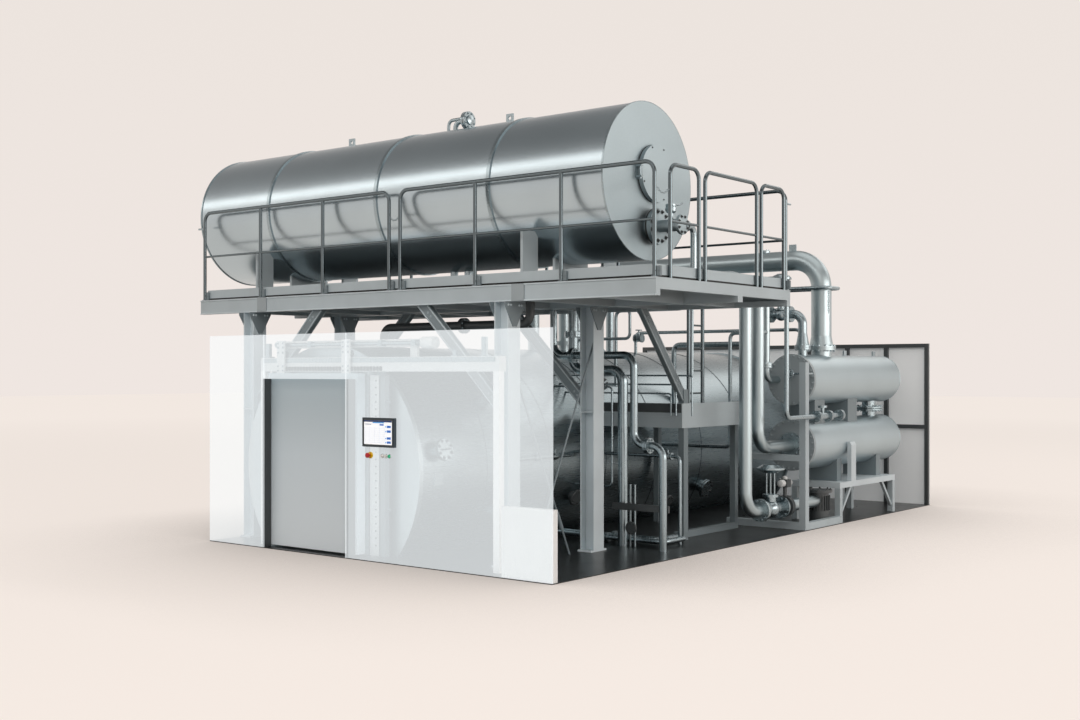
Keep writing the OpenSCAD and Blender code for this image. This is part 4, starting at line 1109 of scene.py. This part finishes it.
# %% Sky
world = bpy.data.worlds.new("studio sky")
world.use_nodes = True
tree = world.node_tree
up = add(tree, "SeparateXYZ", {"Vector": add(tree, "TexCoord").outputs["Generated"]})
bands = add(tree, "ValToRGB", {"stops": [
    (0.0, linear("#EFE6E1")), (0.29, linear("#ECE4DE")), (0.42, linear("#C5C0BD")),
    (0.62, linear("#9C9896")), (0.8, linear("#817F7E")), (1.0, linear("#817F7E")),
], "Fac": up.outputs["Z"]})
set_up(tree.nodes["Background"], {"Color": bands.outputs["Color"]})
scene.world = world
print("sky with", len(bands.color_ramp.elements), "bands")

# %% [markdown]
# A long strip soft box along the front draws the bright band on the tank. A fill comes from the
# right, and weak lights from the top and the back. A wide front fill lights the painted faces
# only, so that no patch of it shows in the metal. A lamp's brightness is given per area, so that a
# larger soft box is softer and not brighter to look at.

# %% Lamps
lamp_colour = "#FFFAF5"


def soft_box(name, place, aim, size, radiance):
    lamp = bpy.data.objects.new(name, bpy.data.lights.new(name, "AREA"))
    lamp.data.shape = "RECTANGLE"
    lamp.data.size, lamp.data.size_y = size
    lamp.data.energy = radiance * math.pi * size[0] * size[1]
    lamp.data.color = linear(lamp_colour)[:3]
    lamp.location = place
    lamp.rotation_euler = (Vector(aim) - Vector(place)).to_track_quat("-Z", "Y").to_euler()
    scene.collection.objects.link(lamp)
    print(name, round(lamp.data.energy), "W")
    return lamp


soft_box("strip along the front", (-8, -15.5, 12.0), (-8, -3.3, 4.0), (40, 3.2), 1.7)
soft_box("fill from the right", (24, 3, 5.6), (2, 0, 2.2), (26, 7), 3.2)
soft_box("top light", (4, 0, 16), (0, 0, 0), (16, 16), 0.9)
soft_box("light from the back", (7, 18, 15), (0, 0, 2), (20, 8), 1.3)
front_fill = soft_box("wide fill from the front", (9, -22, 13), (0, -2, 1.5), (24, 10), 1.3)
front_fill.visible_glossy = False

# %% [markdown]
# The floor is matt paper that is shown paler with distance, as a well-lit studio sweep is, so that
# no horizon shows. That paleness is only for what the eye and the shiny parts see: it adds no light
# to the plant. Near the plant it is dimmed where less open sky reaches the floor, which keeps the
# soft shadow along the plant's foot. A brighter lamp could whiten the floor, but it would bleach
# the steel.

# %% Floor
half_floor = 90
corners = [(-1, -1), (1, -1), (1, 1), (-1, 1)]
ground = bpy.data.meshes.new("ground")
ground.from_pydata([(x * half_floor, y * half_floor, 0) for x, y in corners], [], [(0, 1, 2, 3)])
floor = bpy.data.objects.new("ground", ground)
floor.location.z = -0.001
paper = finish("studio floor, matt paper", {
    "Base Color": linear("#89837F"), "Roughness": 1.0, "Specular IOR Level": 0.0,
    "Emission Color": linear("#F1E8E1"),
})
tree = paper.node_tree
away = add(tree, "VectorMath", {"operation": "LENGTH", "Vector": add(tree, "TexCoord").outputs["Object"]})
pale = add(tree, "MapRange", {
    "From Min": 8.0, "From Max": 45.0, "To Min": 0.79, "To Max": 0.90, "Value": away.outputs["Value"],
})
open_sky = add(tree, "AmbientOcclusion", {"samples": 8, "Distance": 3.8})
shaded = add(tree, "Math", {
    "operation": "MULTIPLY", 0: pale.outputs["Result"], 1: open_sky.outputs["AO"],
})
ray = add(tree, "LightPath").outputs
seen = add(tree, "Math", {"operation": "MAXIMUM", 0: ray["Is Camera Ray"], 1: ray["Is Glossy Ray"]})
shown = add(tree, "Math", {
    "operation": "MAXIMUM", 0: seen.outputs["Value"], 1: ray["Is Transmission Ray"],
})
glow = add(tree, "Math", {
    "operation": "MULTIPLY", 0: shaded.outputs["Value"], 1: shown.outputs["Value"],
})
change(paper, {"Emission Strength": glow.outputs["Value"]})
ground.materials.append(paper)
scene.collection.objects.link(floor)
print("floor", 2 * half_floor, "m square")
